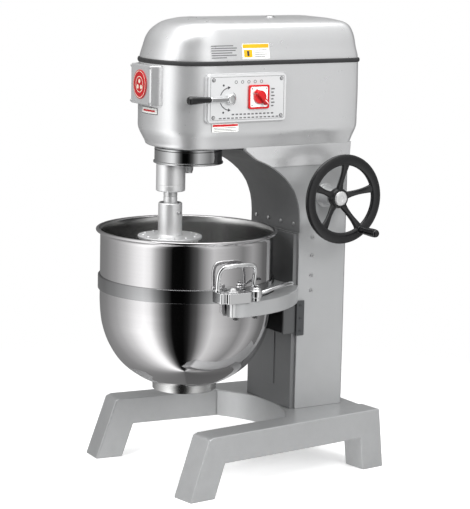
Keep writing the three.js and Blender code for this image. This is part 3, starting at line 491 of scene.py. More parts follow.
# ------------------------------------------------------------------ head
def plan(w, front, rear, rr, z, nose=64, e=2.3, y0=-175.0):
    pts, a, ex = [], front + y0, 2 / e
    for q in (0, 1):
        for i in range(9):
            t = (q + i / 8) * math.pi / 2
            cx = (w - rr) if q == 0 else (-w + rr)
            pts.append((cx + rr * math.cos(t), rear - rr + rr * math.sin(t), z))
    side = 10
    for i in range(1, side):
        pts.append((-w, rear - rr + (y0 - rear + rr) * i / side, z))
    for i in range(nose + 1):
        t = math.pi + i / nose * math.pi
        c, s = math.cos(t), math.sin(t)
        pts.append((w * math.copysign(abs(c) ** ex, c), y0 + a * math.copysign(abs(s) ** ex, s), z))
    for i in range(1, side):
        pts.append((w, y0 + (rear - rr - y0) * i / side, z))
    return pts


skin = [(826, 111, 284, 222, 20), (829, 113, 290, 224, 22), (836, 116, 292.5, 226, 24), (849, 121.5, 299.5, 229, 25.5), (862, 127.5, 306, 232, 27),
        (872, 129.9, 309, 234, 28), (900, 130.3, 309.3, 234.3, 28), (950, 130.8, 309.8, 234.8, 28), (1000, 130.4, 309.4, 234.3, 28), (1029.7, 130, 309, 234, 28)]
dense = smooth_line([Vector(s).to_tuple() if False else Vector(s[:3]) for s in skin], 6)
rest = smooth_line([Vector((s[0], s[3], s[4])) for s in skin], 6)
sec = [plan(d[1], d[2], r[1], r[2], d[0]) for d, r in zip(dense, rest)]
head = rings("head_shell", [plan(106, 278, 217, 16, 826.2)] + sec, HEADP, "frame", smooth=40, replaces=("head_casting",), slot="head_paint")

NECKL = [(-100, 821), (-83, 808), (-64.5, 795), (-44, 786.5), (-25.5, 778), (-8, 768), (6.3, 758)]


def neck_y(z):
    L = NECKL
    off = 4.0
    for (y0, z0), (y1, z1) in zip(L, L[1:]):
        if z1 <= z <= z0:
            return y1 + (y0 - y1) * (z - z1) / (z0 - z1) + off
    return L[0][0] + off if z > L[0][1] else L[-1][0] + off


nsec = []
for i in range(15):
    z = 775.0 + (829 - 775.0) * i / 14
    w, rear = 110 + (z - 774.7) * 0.035, 219.6 + (z - 774.7) * 0.04
    f = neck_y(z)
    nsec.append([(x, y, z) for x, y in rrect(-w, w, f, rear, 6, 4)])
rings("head_neck", nsec, HEADP, "frame", smooth=40, slot="head_paint")

boss = fillet([(-60, -280), (-59, -309), (-47, -328), (47, -328), (59, -309), (60, -280)], 5, 5)
extrude("badge_boss", boss, 931, 1027, "xy", HEADP, "frame", bevel=3.0, seg=4, angle=50, slot="head_paint")
extrude("panel_pad", rrect(-224, 4, 892, 1012, 11), 118, 136, "yz", HEADP, "frame", bevel=2.2, seg=4, slot="head_paint")

# sealing strip with a half-round face
ssec = []
for i in range(13):
    t = -math.pi / 2 + math.pi * i / 12
    z, o = 1035 + 5 * math.sin(t), 1.2 + 1.8 * math.cos(t)
    ssec.append(plan(130 + o, 309 + o, 234 + o, 28 + o * 0.4, z))
rings("cover_strip", ssec, RUBBER, "frame", smooth=60, replaces=("cover_seal",), slot="rubber_black")

dome = [(1040.3, 1, 2, 1), (1042, 0.8, 1.8, 0.8), (1053, 2.4, 4.8, 2.4), (1066, 5, 9, 5), (1090, 9, 18, 8), (1106, 13.5, 31, 11.5), (1119, 20, 51, 17), (1127, 30, 70, 25),
        (1132, 46, 94, 40), (1135.2, 62, 112, 54), (1137, 82, 136, 74), (1138, 104, 160, 94)]
d1 = smooth_line([Vector((d[0], d[1], d[2])) for d in dome], 6)
d2 = smooth_line([Vector((d[0], d[3], 0)) for d in dome], 6)
csec = [plan(130 - a.y, 309 - a.z, 234 - b.y, max(28 - b.y * 0.05, 10), min(a.x, 1138.0)) for a, b in zip(d1, d2)]
rings("cover_shell", csec, HEADP, "frame", smooth=60, replaces=("top_cover",), slot="head_paint")
lathe("cover_plug", fillet([(0, 1133), (13.4, 1133), (13.4, 1138.3), (11, 1138.5), (11, 1139.3), (9.3, 1140.4), (0, 1140.4)], 0.5, 3), 31, 20, FACED, "frame", 48, closed=False, replaces=("vent_plug",), slot="plug_steel")

# badge: plain red disc with a thin plain line
oval = [(31 * math.cos(t), 979.5 + 35 * math.sin(t)) for t in (2 * math.pi * i / 96 for i in range(96))]
extrude("badge_plate", oval, -330.9, -328.1, "xz", REDB, "frame", bevel=1.0, seg=3, replaces=("badge_disc",), slot="badge_red")


def ring_plate(name, rx, rz, w, y0, y1, mat, cz=979.5, n=96):
    v, f = [], []
    for i in range(n):
        t = 2 * math.pi * i / n
        c, s = math.cos(t), math.sin(t)
        for (ox, oy) in ((0, y0), (w, y0), (w, y1), (0, y1)):
            v.append(((rx - ox) * c, oy, cz + (rz - ox) * s))
    for i in range(n):
        j = (i + 1) % n
        for k in range(4):
            l = (k + 1) % 4
            f.append((i * 4 + k, j * 4 + k, j * 4 + l, i * 4 + l))
    return new(name, v, f, mat, "frame", smooth=30)


ring_plate("badge_line", 28.4, 32.4, 1.3, -331.0, -330.4, CREAM)
ring_plate("badge_inner", 17.5, 19.5, 1.6, -331.0, -330.4, CREAM)
for i in range(3):
    ring_plate("badge_dot_%d" % i, 4.6, 5.2, 4.4, -331.0, -330.4, CREAM, 979.5 + (-6, 7.5, -6)[i], 28)
    bpy.data.objects["badge_dot_%d" % i].data.transform(Matrix.Translation(((-8, 0, 8)[i] / 1000, 0, 0)))
for i, (x, z) in enumerate(((-52, 936.5), (52, 936.5), (-52, 1021.5), (52, 1021.5))):
    bolt("badge_screw_%d" % i, (x * 0.86, -328.0, z), "-y", 3.2, 1.6, FACED, "frame")


# ------------------------------------------------------------------ control panel
PX = 139.35
refine("control_panel", PANELM, 0.7, seg=2, slot="panel_alu")


def mark(name, y0, y1, z0, z1, mat=INK, x=PX, t=0.25, r=0.0):
    out = rrect(y0, y1, z0, z1, r or min(y1 - y0, z1 - z0) * 0.2, 3)
    return extrude(name, out, x, x + t, "yz", mat, "frame", bevel=0)


def arc_mark(name, cy, cz, r, w, a0, a1, mat=INK, x=PX, t=0.25, n=24):
    o = [(cy + (r + w / 2) * math.cos(a0 + (a1 - a0) * i / n), cz + (r + w / 2) * math.sin(a0 + (a1 - a0) * i / n)) for i in range(n + 1)]
    o += [(cy + (r - w / 2) * math.cos(a1 + (a0 - a1) * i / n), cz + (r - w / 2) * math.sin(a1 + (a0 - a1) * i / n)) for i in range(n + 1)]
    n2 = len(o)
    verts = [(x, u, v) for u, v in o] + [(x + t, u, v) for u, v in o]
    faces = [(i, i + 1, n2 - 2 - i, n2 - 1 - i) for i in range(n)] + [(n2 + n2 - 1 - i, n2 + n2 - 2 - i, n2 + i + 1, n2 + i) for i in range(n)]
    faces += [(i, n2 + i, n2 + (i + 1) % n2, (i + 1) % n2) for i in range(n2)]
    return new(name, verts, faces, mat, "frame")


def line_mark(name, pts, w, mat=INK, x=PX, t=0.25):
    (y0, z0), (y1, z1) = pts
    d = Vector((y1 - y0, z1 - z0)).normalized(); nn = Vector((-d.y, d.x)) * w / 2
    o = [(y0 + nn.x, z0 + nn.y), (y1 + nn.x, z1 + nn.y), (y1 - nn.x, z1 - nn.y), (y0 - nn.x, z0 - nn.y)]
    return extrude(name, o, x, x + t, "yz", mat, "frame", bevel=0)


# thin border line round the plate
for nm, a in (("border_top", (-214, -6, 1003.2, 1004.0)), ("border_low", (-214, -6, 900.0, 900.8)), ("border_front", (-215.0, -214.2, 901, 1003)), ("border_rear", (-5.8, -5.0, 901, 1003))):
    mark(nm, *a, mat=INKG, r=0.2)
for i, (y, z) in enumerate(((-206, 997), (-206, 907), (-13, 997), (-13, 907))):
    lathe("panel_washer_%d" % i, fillet([(0, 139.3), (5.0, 139.3), (5.0, 139.9), (0, 139.9)], 0.2, 2), y, z, INKG, "frame", 32, closed=False, axis="x")
    bolt("panel_screw_%d" % i, (139.8, y, z), "+x", 3.4, 1.8, CHROME, "frame", "socket")
# title rings, rows of plain dashes, side dashes and the lever's dial
for i in range(5):
    arc_mark("title_%d" % i, -143 + i * 18, 991, 3.4, 1.3, 0, 2 * math.pi - 0.01, INKG)
for i in range(11):
    mark("row_a_%d" % i, -154 + i * 11.2, -147 + i * 11.2, 911.5, 915.0, INKG, r=0.8)
for i in range(15):
    mark("row_b_%d" % i, -190 + i * 11.6, -182.5 + i * 11.6, 903.2, 906.2, INKG, r=0.8)
for i in range(6):
    mark("side_%d" % i, -42, -35 + (i % 2) * 3, 929.5 + i * 8.2, 932.6 + i * 8.2, INKG, r=0.8)
LY, LZ = -160.8, 951.3
arc_mark("dial_a", LY, LZ, 27, 2.0, math.radians(100), math.radians(160))
arc_mark("dial_b", LY, LZ, 27, 2.0, math.radians(200), math.radians(262))
arc_mark("dial_c", LY, LZ, 18, 1.2, math.radians(-55), math.radians(55), INKG)
for i, a in enumerate((100, 262)):
    t = math.radians(a); c = (LY + 27 * math.cos(t), LZ + 27 * math.sin(t))
    s = 1 if i else -1
    d = Vector((-math.sin(t), math.cos(t))) * s
    nn = Vector((math.cos(t), math.sin(t)))
    tip = [(c[0] + d.x * 7, c[1] + d.y * 7), (c[0] + nn.x * 4, c[1] + nn.y * 4), (c[0] - nn.x * 4, c[1] - nn.y * 4)]
    if i == 0:
        tip = tip[::-1]
    extrude("dial_tip_%d" % i, tip, PX, PX + 0.25, "yz", INK, "frame", bevel=0)
for i, a in enumerate((118, 180, 242)):
    t = math.radians(a)
    lathe("dial_dot_%d" % i, [(0, PX), (2.6, PX), (2.6, PX + 0.25), (0, PX + 0.25)], LY + 37 * math.cos(t), LZ + 37 * math.sin(t), INK, "frame", 20, closed=False, axis="x")

refine("switch_frame", RED, 0.9, seg=3, slot="switch_red")
refine("switch_plate", WHITE, 0.8, seg=3, slot="switch_white")
SY, SZ = -79.5, 954.0
k0 = 139.6
lathe("knob_base", fillet([(0, k0 + 4.9), (17, k0 + 4.9), (16.2, k0 + 13), (12, k0 + 14.2), (0, k0 + 14.2)], 1.6, 4), SY, SZ, RED, "switch", 64, closed=False, axis="x", replaces=("switch_knob",), slot="switch_red")
bar = [Vector((x, y, z)) for x in (k0 + 10, k0 + 25) for y in (-23, 23) for z in (-6.5, 6.5)]
rot = Matrix.Rotation(-0.8, 3, "X")
bv = [tuple((rot @ Vector((0, v.y * (1 if v.x < k0 + 12 else 0.93), v.z * (1 if v.x < k0 + 12 else 0.72)))) + Vector((v.x, SY, SZ))) for v in bar]
new("knob_grip", bv, [(0, 1, 3, 2), (4, 6, 7, 5), (0, 4, 5, 1), (2, 3, 7, 6), (0, 2, 6, 4), (1, 5, 7, 3)], RED, "switch", bevel=2.4, seg=5, slot="switch_red")
tick = [tuple((rot @ Vector((0, y, z))) + Vector((x, SY, SZ))) for x in (k0 + 24.8, k0 + 25.05) for y, z in ((8, -0.8), (20, -0.8), (20, 0.8), (8, 0.8))]
new("knob_tick", tick, [(0, 1, 2, 3), (7, 6, 5, 4), (0, 4, 5, 1), (1, 5, 6, 2), (2, 6, 7, 3), (3, 7, 4, 0)], WHITE, "switch")
for i, (dy, dz) in enumerate(((-20, -20), (20, -20), (-20, 20), (20, 20))):
    bolt("switch_screw_%d" % i, (k0 + 4.5, SY + dy, SZ + dz), "+x", 2.2, 1.0, FACED, "frame")
for i, a in enumerate((45, 135)):
    t = math.radians(a)
    mark("switch_pos_%d" % i, SY + 21.5 * math.cos(t) - 1.6, SY + 21.5 * math.cos(t) + 1.6, SZ + 21.5 * math.sin(t) - 6, SZ + 21.5 * math.sin(t) - 2.8, INK, x=k0 + 4.5, r=0.8) if False else None

# gear lever
lathe("lever_hub", fillet([(0, 139.7), (13.2, 139.7), (12.6, 147), (10.6, 152.2), (6, 153.0), (0, 153.0)], 1.5, 4), LY, LZ, CHROME, "gear_lever", 64, closed=False, axis="x", replaces=("shift_lever",), slot="chrome")
rod("lever_rod", [(k0 + 7.5, LY, LZ), (k0 + 7.5, -190, LZ), (k0 + 7.5, -222, LZ)], 5.2, DRUMM, "gear_lever", 28, 8, slot="chrome")
lathe("lever_grip", fillet([(0, -281.9), (8.2, -281.6), (10.4, -276), (9.7, -262), (8.0, -243), (6.7, -226), (7.3, -221), (5.9, -218.2), (0, -218.2)], 2.2, 5), k0 + 7.5, LZ, GLOSSB, "gear_lever", 56, closed=False, axis="y", replaces=("shift_grip",), slot="black_gloss", smooth=50)
lathe("lever_ferrule", fillet([(0, -219.5), (6.6, -219.5), (6.9, -215.8), (0, -215.8)], 0.8, 3), k0 + 7.5, LZ, CHROME, "gear_lever", 40, closed=False, axis="y")


# ------------------------------------------------------------------ labels, blank or with plain shapes
def cover_x(z):
    """side of the cover at a height"""
    pts = [(1040.3, 1), (1053, 2.4), (1066, 5), (1090, 9), (1106, 13.5)]
    for (z0, a0), (z1, a1) in zip(pts, pts[1:]):
        if z0 <= z <= z1:
            return 130 - (a0 + (a1 - a0) * (z - z0) / (z1 - z0))
    return 129.5


def label(name, y0, y1, z0, z1, mat, lift=0.35, thick=0.3, n=8):
    v, f = [], []
    for i in range(n + 1):
        z = z0 + (z1 - z0) * i / n
        x = (cover_x(z) if z > 1040 else 130.75) + lift
        for y in (y0, y1):
            v += [(x, y, z), (x + thick, y, z)]
    for i in range(n):
        a, b = i * 4, (i + 1) * 4
        f += [(a + 1, a + 3, b + 3, b + 1), (a, b, b + 2, a + 2), (a, a + 1, b + 1, b), (a + 2, b + 2, b + 3, a + 3)]
    f += [(0, 2, 3, 1), (n * 4, n * 4 + 1, n * 4 + 3, n * 4 + 2)]
    return new(name, v, f, mat, "frame", smooth=30)


label("cover_label", -119, -42, 1045, 1081, LABEL)
label("cover_label_head", -117.5, -43.5, 1070.5, 1080, YELLOW, 0.7, 0.15)
for i in range(4):
    label("cover_label_line_%d" % i, -84, -48 - (i % 2) * 7, 1064.5 - i * 5, 1066.5 - i * 5, INKG, 0.7, 0.12, 2)
label("cover_label_block", -115, -91, 1048.5, 1067, YELLOW, 0.7, 0.12, 3)
label("cover_label_bar", -106, -100, 1052, 1064, INK, 0.85, 0.12, 2)
for i in range(6):
    label("cover_note_%d" % i, -206, -134 + (-10, 0, -4, -14, -2, -30)[i], 1076 - i * 5.6, 1078.2 - i * 5.6, INKG, 0.3, 0.15, 2)


def nose_label(name, x0, x1, z0, z1, mat, lift, thick=0.25, n=12):
    """thin plate that follows the nose"""
    v, f = [], []
    for i in range(n + 1):
        x = x0 + (x1 - x0) * i / n
        y = -175 - 134.6 * (1 - (abs(x) / 130.6) ** 2.3) ** (1 / 2.3) - lift
        for z in (z0, z1):
            v += [(x, y, z), (x, y - thick, z)]
    for i in range(n):
        a, b = i * 4, (i + 1) * 4
        f += [(a + 1, b + 1, b + 3, a + 3), (a, a + 2, b + 2, b), (a, b, b + 1, a + 1), (a + 2, a + 3, b + 3, b + 2)]
    f += [(0, 1, 3, 2), (n * 4, n * 4 + 2, n * 4 + 3, n * 4 + 1)]
    return new(name, v, f, mat, "frame", smooth=30)


nose_label("nose_plate", -22, 44, 908, 925, INK, 0.25)
nose_label("nose_plate_face", -20.5, 42.5, 909.5, 923.5, LABEL, 0.5)
nose_label("nose_plate_bar", -15, 36, 914, 918.5, REDB, 0.72)
label("panel_note", -203, -129, 871, 890.5, LABEL, 0.3, 0.3, 3)
label("panel_note_head", -201.5, -130.5, 884, 889.2, REDB, 0.62, 0.12, 2)
for i in range(3):
    label("panel_note_line_%d" % i, -199, -136 - (i % 2) * 12, 880.2 - i * 3.6, 881.6 - i * 3.6, INKG, 0.62, 0.12, 2)


# ------------------------------------------------------------------ planetary drive under the head
dprof = [(17.0, 783), (85.2, 783), (86, 783.8), (86, 787.2), (85, 788.2), (83.3, 789.2), (83.3, 821.2), (82.3, 822), (17.0, 822)]
lathe("drum_shell", fillet(dprof, 0.5, 2, True), 0, AX, DRUMM, "planetary", 160, replaces=("planet_drum",), slot="drum_chrome")
lathe("drum_groove", [(83.2, 815.2), (83.5, 815.6), (83.5, 816.8), (83.2, 817.2)], 0, AX, DARK, "planetary", 160)
lathe("axle_nut", fillet([(0, 757.2), (10.8, 757.2), (11.2, 761.6), (12.3, 763), (12.3, 782.6), (0, 782.6)], 0.8, 3), 0, AX, FACED, "planetary", 40, closed=False, replaces=("drum_nut",), slot="gear_steel")
kv = ([], [])
for i in range(28):
    t = 2 * math.pi * i / 28
    rod("", [(12.1 * math.cos(t), AX + 12.1 * math.sin(t), 764), (12.1 * math.cos(t), AX + 12.1 * math.sin(t), 782)], 0.8, None, None, 6, 2, mesh=kv)
new("axle_nut_knurl", kv[0], kv[1], FACED, "planetary", smooth=50)
lathe("sleeve", fillet([(17.2, 716), (34.4, 716), (36, 717.6), (36, 730), (35.4, 730.8), (36, 731.6), (36, 782.6), (17.2, 782.6)], 0.6, 3, True), 0, SP, TURNED, "planetary", 120, replaces=("spindle_housing",), slot="turned_steel")
for i in range(4):
    t = math.pi / 4 + i * math.pi / 2
    bolt("drum_bolt_%d" % i, (60 * math.cos(t) * (1 if i < 2 else 1), AX + 60 * math.sin(t) + (6 if i < 2 else 18), 782.8), "-z", 5.6, 5.0, FACED, "planetary", "hex")
lathe("spindle", fillet([(0, 641), (16.2, 641), (17, 643), (17, 700), (16.4, 701), (16.4, 703), (17, 704), (17, 845), (0, 845)], 0.4, 2), 0, SP, TURNED, "agitator", 96, closed=False, replaces=("agitator_shaft",), slot="turned_steel")
hub = [(17.3, 687), (17.3, 640.2), (0, 640.2), (0, 598.2), (78.3, 598.2), (79.3, 599.4), (79.3, 604.2), (78.3, 605.2), (33, 605.4), (29.5, 608), (29.5, 684.6), (27.4, 687)]
lathe("tool_socket", fillet(hub, 0.7, 3, False), 0, SP, TURNED, "agitator", 120, closed=False, replaces=("tool_hub",), slot="turned_steel")
bpy.data.objects["tool_socket"].modifiers.clear()
rod("tool_pin", [(-36, SP - 8, 664), (0, SP, 664), (36, SP + 8, 664)], 4.2, FACED, "agitator", 20, 2)
wm = ([], [])
for i in range(6):
    a = math.pi * i / 6 + 0.13
    c, s, b = math.cos(a), math.sin(a), 254 + i * 2.0
    half = [(66, 598.6), (67.5, 590), (74, 560), (101, 470), (124, 389), (126, 353), (110, 314), (82, 287), (54, b + 14), (28, b + 2), (0, b)]
    pts = [(r * c, SP + r * s, z) for r, z in half] + [(-r * c, SP - r * s, z) for r, z in half[:-1][::-1]]
    rod("", pts, 2.5, None, None, 12, 6, mesh=wm)
new("wires", wm[0], wm[1], TURNED, "agitator", smooth=50, replaces=("whisk_wires",), slot="turned_steel")
wf = ([], [])
for i in range(12):
    a = math.pi * i / 6 + 0.13
    rod("", [(66 * math.cos(a), SP + 66 * math.sin(a), 604.8), (66 * math.cos(a), SP + 66 * math.sin(a), 608.6)], 4.0, None, None, 16, 2, mesh=wf)
new("wire_ends", wf[0], wf[1], TURNED, "agitator", smooth=50)

# ------------------------------------------------------------------ bowl
ow = [(0, 227.2), (40, 227.6), (62, 229.0), (92, 239), (130, 260.5), (164, 290), (192, 334), (208, 381), (213.6, 430), (214, 470), (214, 540), (214, 600)]
wall = smooth_line([Vector(p) for p in ow], 10)
wall = [(v.x, max(v.y, 227.2)) for v in wall]
rim = [(214.2, 607), (216.5, 610.4), (220, 611.0), (223.6, 612.6), (225, 615.6), (223.6, 618.4), (220, 619.3), (216.5, 618.8), (213.6, 616.6), (211.9, 612)]
rimd = [(v.x, v.y) for v in smooth_line([Vector(p) for p in rim], 5)]
inn = [(max(r - 2.3 * min(1, r / 60), 0), z + 2.4 * (1 - (min(r, 214) / 214) ** 4)) for r, z in wall[::-1]]
lathe("bowl_wall", wall + rimd[:-6], 0, AX, BOWLO, "bowl_unit", 192, closed=False, smooth=60, replaces=("bowl",), slot="bowl_steel")
lathe("bowl_lining", rimd[-12:] + inn, 0, AX, BOWLI, "bowl_unit", 192, closed=False, smooth=60, slot="bowl_steel")
for nm in ("bowl_wall", "bowl_lining"):
    pass
lathe("foot_ring", fillet([(76.8, 216.5), (79.9, 216.5), (79.9, 234.6), (76.8, 233.4)], 0.8, 3, True), 0, AX, BOWLI, "bowl_unit", 128, replaces=("bowl_foot",), slot="bowl_steel")
bprof = fillet([(214.25, 470), (219, 470), (219, 503), (214.25, 503)], 1.1, 4, True)
# band in the darkened copy of the bowl steel, painted shade for its darker reflections
lathe("band", bprof, 0, AX, BAND_SHADED, "bowl_unit", 192, replaces=("bowl_band",), slot="bowl_steel")


def ear(name, s):
    o = []
    for i in range(13):                      # edge against the band
        y = -242 + 80 * i / 12
        o.append((s * math.sqrt(218.2 ** 2 - (y - AX) ** 2), y))
    o += [(s * 262, -162), (s * 262, -228), (s * 250, -228), (s * 250, -242)]
    keep = fillet(o, [0] * 13 + [5, 4, 3, 5], 4, True)
    if s < 0:
        keep = keep[::-1]
    return extrude(name, keep, 474.7, 500, "xy", CHROME, "bowl_unit", bevel=1.4, seg=4, angle=40, slot="bowl_steel")


ear("ear_right", 1); ear("ear_left", -1)
for s, nm in ((1, "right"), (-1, "left")):
    lathe("pin_%s" % nm, fillet([(0, 440), (7.6, 440), (7.6, 506), (5.6, 510.5), (0, 510.5)], 1.2, 4), s * 243, -205, TURNED, "carriage", 48, closed=False)
    lathe("pin_collar_%s" % nm, fillet([(7.9, 500.2), (13, 500.2), (13, 502.6), (7.9, 502.6)], 0.6, 3, True), s * 243, -205, TURNED, "bowl_unit", 48)
    lathe("front_pin_%s" % nm, fillet([(0, 452), (5.5, 452), (5.5, 494), (4.0, 496.5), (0, 496.5)], 1.0, 3), s * 236, -236, CHROME, "bowl_unit", 36, closed=False) if False else None
    hz = 503.2
    rod("handle_" + nm, [(s * 224, AX - 46, hz), (s * 225.4, AX - 46.6, 516), (s * 227, AX - 47, 530), (s * 231, AX - 46, 547), (s * 236, AX - 39, 559), (s * 240, AX - 20, 563), (s * 241, AX + 4, 563.4),
        (s * 240, AX + 28, 563), (s * 236, AX + 47, 559), (s * 231, AX + 54, 547), (s * 227, AX + 55, 530), (s * 225.4, AX + 54.6, 516), (s * 224, AX + 54, hz)], 5.4, CHROME, "bowl_unit", 28, 8,
        replaces=("bowl_handle_" + nm,), slot="chrome", smooth=60)
    for j, dy in enumerate((-46, 54)):
        lathe("handle_foot_%s_%d" % (nm, j), fillet([(0, 500.5), (8.0, 500.5), (7.4, 504.5), (5.4, 508.5), (0, 508.5)] if j == 0 else [(0, 502.6), (6.2, 502.6), (6.0, 505.5), (5.4, 508.5), (0, 508.5)], 0.8, 3), s * 224, AX + dy, CHROME, "bowl_unit", 36, closed=False)

# ------------------------------------------------------------------ yoke and lift
refine("yoke", BODY, 3.0, seg=4, slot="silver_paint")
extrude("saddle_block", [(-106.9, 32.1), (106.9, 32.1), (106.9, 72.5), (100.6, 72.5), (100.6, 60.8), (-100.6, 60.8), (-100.6, 72.5), (-106.9, 72.5)], 350.1, 421.6, "xy", SADDLEM, "carriage", bevel=1.6, seg=3, replaces=("lift_saddle",), slot="black_iron")
# painted shade: a blacker plate over the saddle's front face, which lies in the bowl's shadow
extrude("saddle_face_painted_shade", rrect(-101, 101, 353, 419, 4), 31.9, 32.4, "xz", SHADED_IRON, "carriage", bevel=0)
# apron in the painted-shade copy of the silver enamel, to match the shaded column front
extrude("slot_apron", rrect(-25.9, 25.9, 203.1, 351, 3), 59.0, 60.85, "xz", SHADED_FRONT, "carriage", bevel=0.5, seg=2, slot="silver_paint")
refine("gib_right", WAY, 1.0, seg=2, slot="way_steel")
refine("gib_left", WAY, 1.0, seg=2, slot="way_steel")
for s, nm in ((1, "right"), (-1, "left")):
    for j, z in enumerate((421, 388, 356)):
        bolt("gib_bolt_%s_%d" % (nm, j), (s * 112.8, 79, z), "+x" if s > 0 else "-x", 3.4, 1.6, WAY, "carriage", "socket")
    for j, (x, y) in enumerate(((243, -195), (243, -140))):
        bolt("arm_bolt_%s_%d" % (nm, j), (s * x, y, 437.6), "-z", 7.5, 6.0, FACED, "carriage", "hex")
    lathe("clamp_body_" + nm, fillet([(0, 474.5), (12.5, 474.5), (12.5, 483), (15, 484.5), (15, 499.5), (12, 501.5), (12, 505), (8, 508), (0, 508)], 1.2, 4), s * 243, -139.5, CHROME, "clamp_" + nm, 64, closed=False,
        replaces=("clamp_lever_" + nm,), slot="chrome")
    bolt("clamp_nut_" + nm, (s * 243, -138, 507.6), "+z", 7.0, 5.0, FACED, "clamp_" + nm, "hex")
    rod("clamp_rod_" + nm, [(s * 245, -138, 494), (s * 247.5, -126, 494.6), (s * 249, -114, 497), (s * 246, -96, 500.5), (s * 241, -76, 503), (s * 232, -54, 504), (s * 221, -36, 503.5), (s * 209, -20, 501.5), (s * 195, -4, 498)],
        4.4, CHROME, "clamp_" + nm, 24, 8, radii=lambda t: 4.2 + 0.8 * t, smooth=60)
refine("lift_nut", BRONZE, 0.8, seg=2, slot="nut_bronze")
lathe("screw_rod", fillet([(0, 172.2), (11.5, 172.2), (11.5, 192), (13.6, 192.4), (13.6, 651.6), (11.5, 652), (11.5, 672.8), (0, 672.8)], 0.5, 2), 0, 146.2, GEAR, "screw_drive", 48, closed=False, replaces=("lift_screw",), slot="gear_steel")

# ------------------------------------------------------------------ handwheel
WY, WZ = 146.2, 697.0
lathe("wheel_boss", fillet([(10.4, 107.4), (30, 107.4), (30, 113.6), (23, 116.6), (20, 148), (10.4, 148)], 1.6, 4, True), WY, WZ, BODY, "frame", 72, axis="x", replaces=("handwheel_boss",), slot="silver_paint")
for i in range(3):
    t = math.radians(90 + 120 * i)
    bolt("boss_screw_%d" % i, (113.9, WY + 26 * math.cos(t), WZ + 26 * math.sin(t)), "+x", 3.0, 2.0, FACED, "frame", "socket")
rimp = []
for i in range(28):
    t = 2 * math.pi * i / 28
    c, s = math.cos(t), math.sin(t)
    rimp.append((98 + 13.6 * math.copysign(abs(c) ** 0.86, c), 189 + 6.9 * math.copysign(abs(s) ** 0.86, s)))
lathe("wheel_rim", rimp, WY, WZ, WHEELB, "hand_drive", 144, axis="x", smooth=60, replaces=("handwheel",), slot="wheel_black")
lathe("wheel_hub", fillet([(10.4, 160.2), (24.5, 160.2), (26, 163), (25.4, 172), (23, 177.5), (10.4, 177.5)], 1.8, 4, True), WY, WZ, WHEELB, "hand_drive", 72, axis="x", slot="wheel_black")
for i in range(5):
    t = math.radians(-57 + 72 * i)
    v, f, L, n = [], [], 16, 16
    for j in range(L + 1):
        q = j / L
        r = 18 + (90 - 18) * q
        x = 169.5 + (188.5 - 169.5) * (q * q * (3 - 2 * q))
        hw = 10.5 - 3.6 * math.sin(math.pi * min(1, q * 1.08)) + (2.4 if q > 0.9 else 0) * (q - 0.9) * 10
        ht = 5.4 - 0.9 * math.sin(math.pi * q)
        for k in range(n):
            a = 2 * math.pi * k / n
            cc, ss = math.cos(a), math.sin(a)
            w = hw * math.copysign(abs(cc) ** 0.8, cc); h = ht * math.copysign(abs(ss) ** 0.8, ss)
            v.append((x + h, WY + r * math.cos(t) - w * math.sin(t), WZ + r * math.sin(t) + w * math.cos(t)))
    for j in range(L):
        for k in range(n):
            l = (k + 1) % n
            f.append((j * n + k, j * n + l, (j + 1) * n + l, (j + 1) * n + k))
    f += [tuple(range(n - 1, -1, -1)), tuple(range(L * n, L * n + n))]
    new("spoke_%d" % i, v, f, WHEELB, "hand_drive", smooth=60, slot="wheel_black")
GY, GZ = WY + 95 * math.cos(math.radians(-57)), WZ + 95 * math.sin(math.radians(-57))
lathe("grip_boss", fillet([(5.3, 184), (11, 184), (11, 195.5), (9.6, 197.2), (5.3, 197.2)], 1.0, 3, True), GY, GZ, WHEELB, "hand_drive", 48, axis="x", slot="wheel_black")
lathe("hub_disc", fillet([(0, 177.8), (18, 177.8), (18, 180), (15, 182.3), (7, 182.4), (6, 181.4), (0, 181.4)], 0.6, 3), WY, WZ, TURNED, "hand_drive", 64, closed=False, axis="x", replaces=("hub_cap",), slot="turned_steel")
lathe("grip_pin", fillet([(0, 187), (4.9, 187), (4.9, 251.5), (0, 251.5)], 0.5, 2), GY, GZ, FACED, "hand_drive", 32, closed=False, axis="x", replaces=("crank_spindle",), slot="gear_steel")
lathe("grip", fillet([(5.4, 198.0), (8.2, 198.0), (9.6, 201), (8.9, 206), (9.6, 222), (10.5, 240), (10.5, 254), (9.2, 261.5), (5.0, 264.7), (0, 264.7), (0, 252.6), (5.4, 252.6)], [0, 1.5, 2, 3, 8, 8, 5, 3, 2, 0, 0, 0], 5), GY, GZ, GLOSSB, "crank_handle", 64, closed=False, axis="x", smooth=60,
    replaces=("crank_grip",), slot="black_gloss")

# ------------------------------------------------------------------ CAD solids that stay, with their own finishes
stay = {"ring_gear": GEAR, "main_bearing": GEAR, "main_shaft": GEAR, "main_gear": GEAR, "planet_pinion": GEAR, "gearbox_plate": GEAR, "input_shaft": GEAR, "input_bearing": GEAR, "input_pinion": GEAR,
        "driven_pulley": GEAR, "motor": MOTORP, "motor_shaft": GEAR, "motor_pulley": GEAR, "v_belt": RUBBER, "screw_foot_bearing": GEAR, "screw_top_bearing": GEAR, "screw_bevel_gear": GEAR,
        "shaft_bevel_gear": GEAR, "handwheel_shaft": GEAR}
for n, m in stay.items():
    o = NODES[n]
    o.data.materials.clear()
    o.data.materials.append(m)


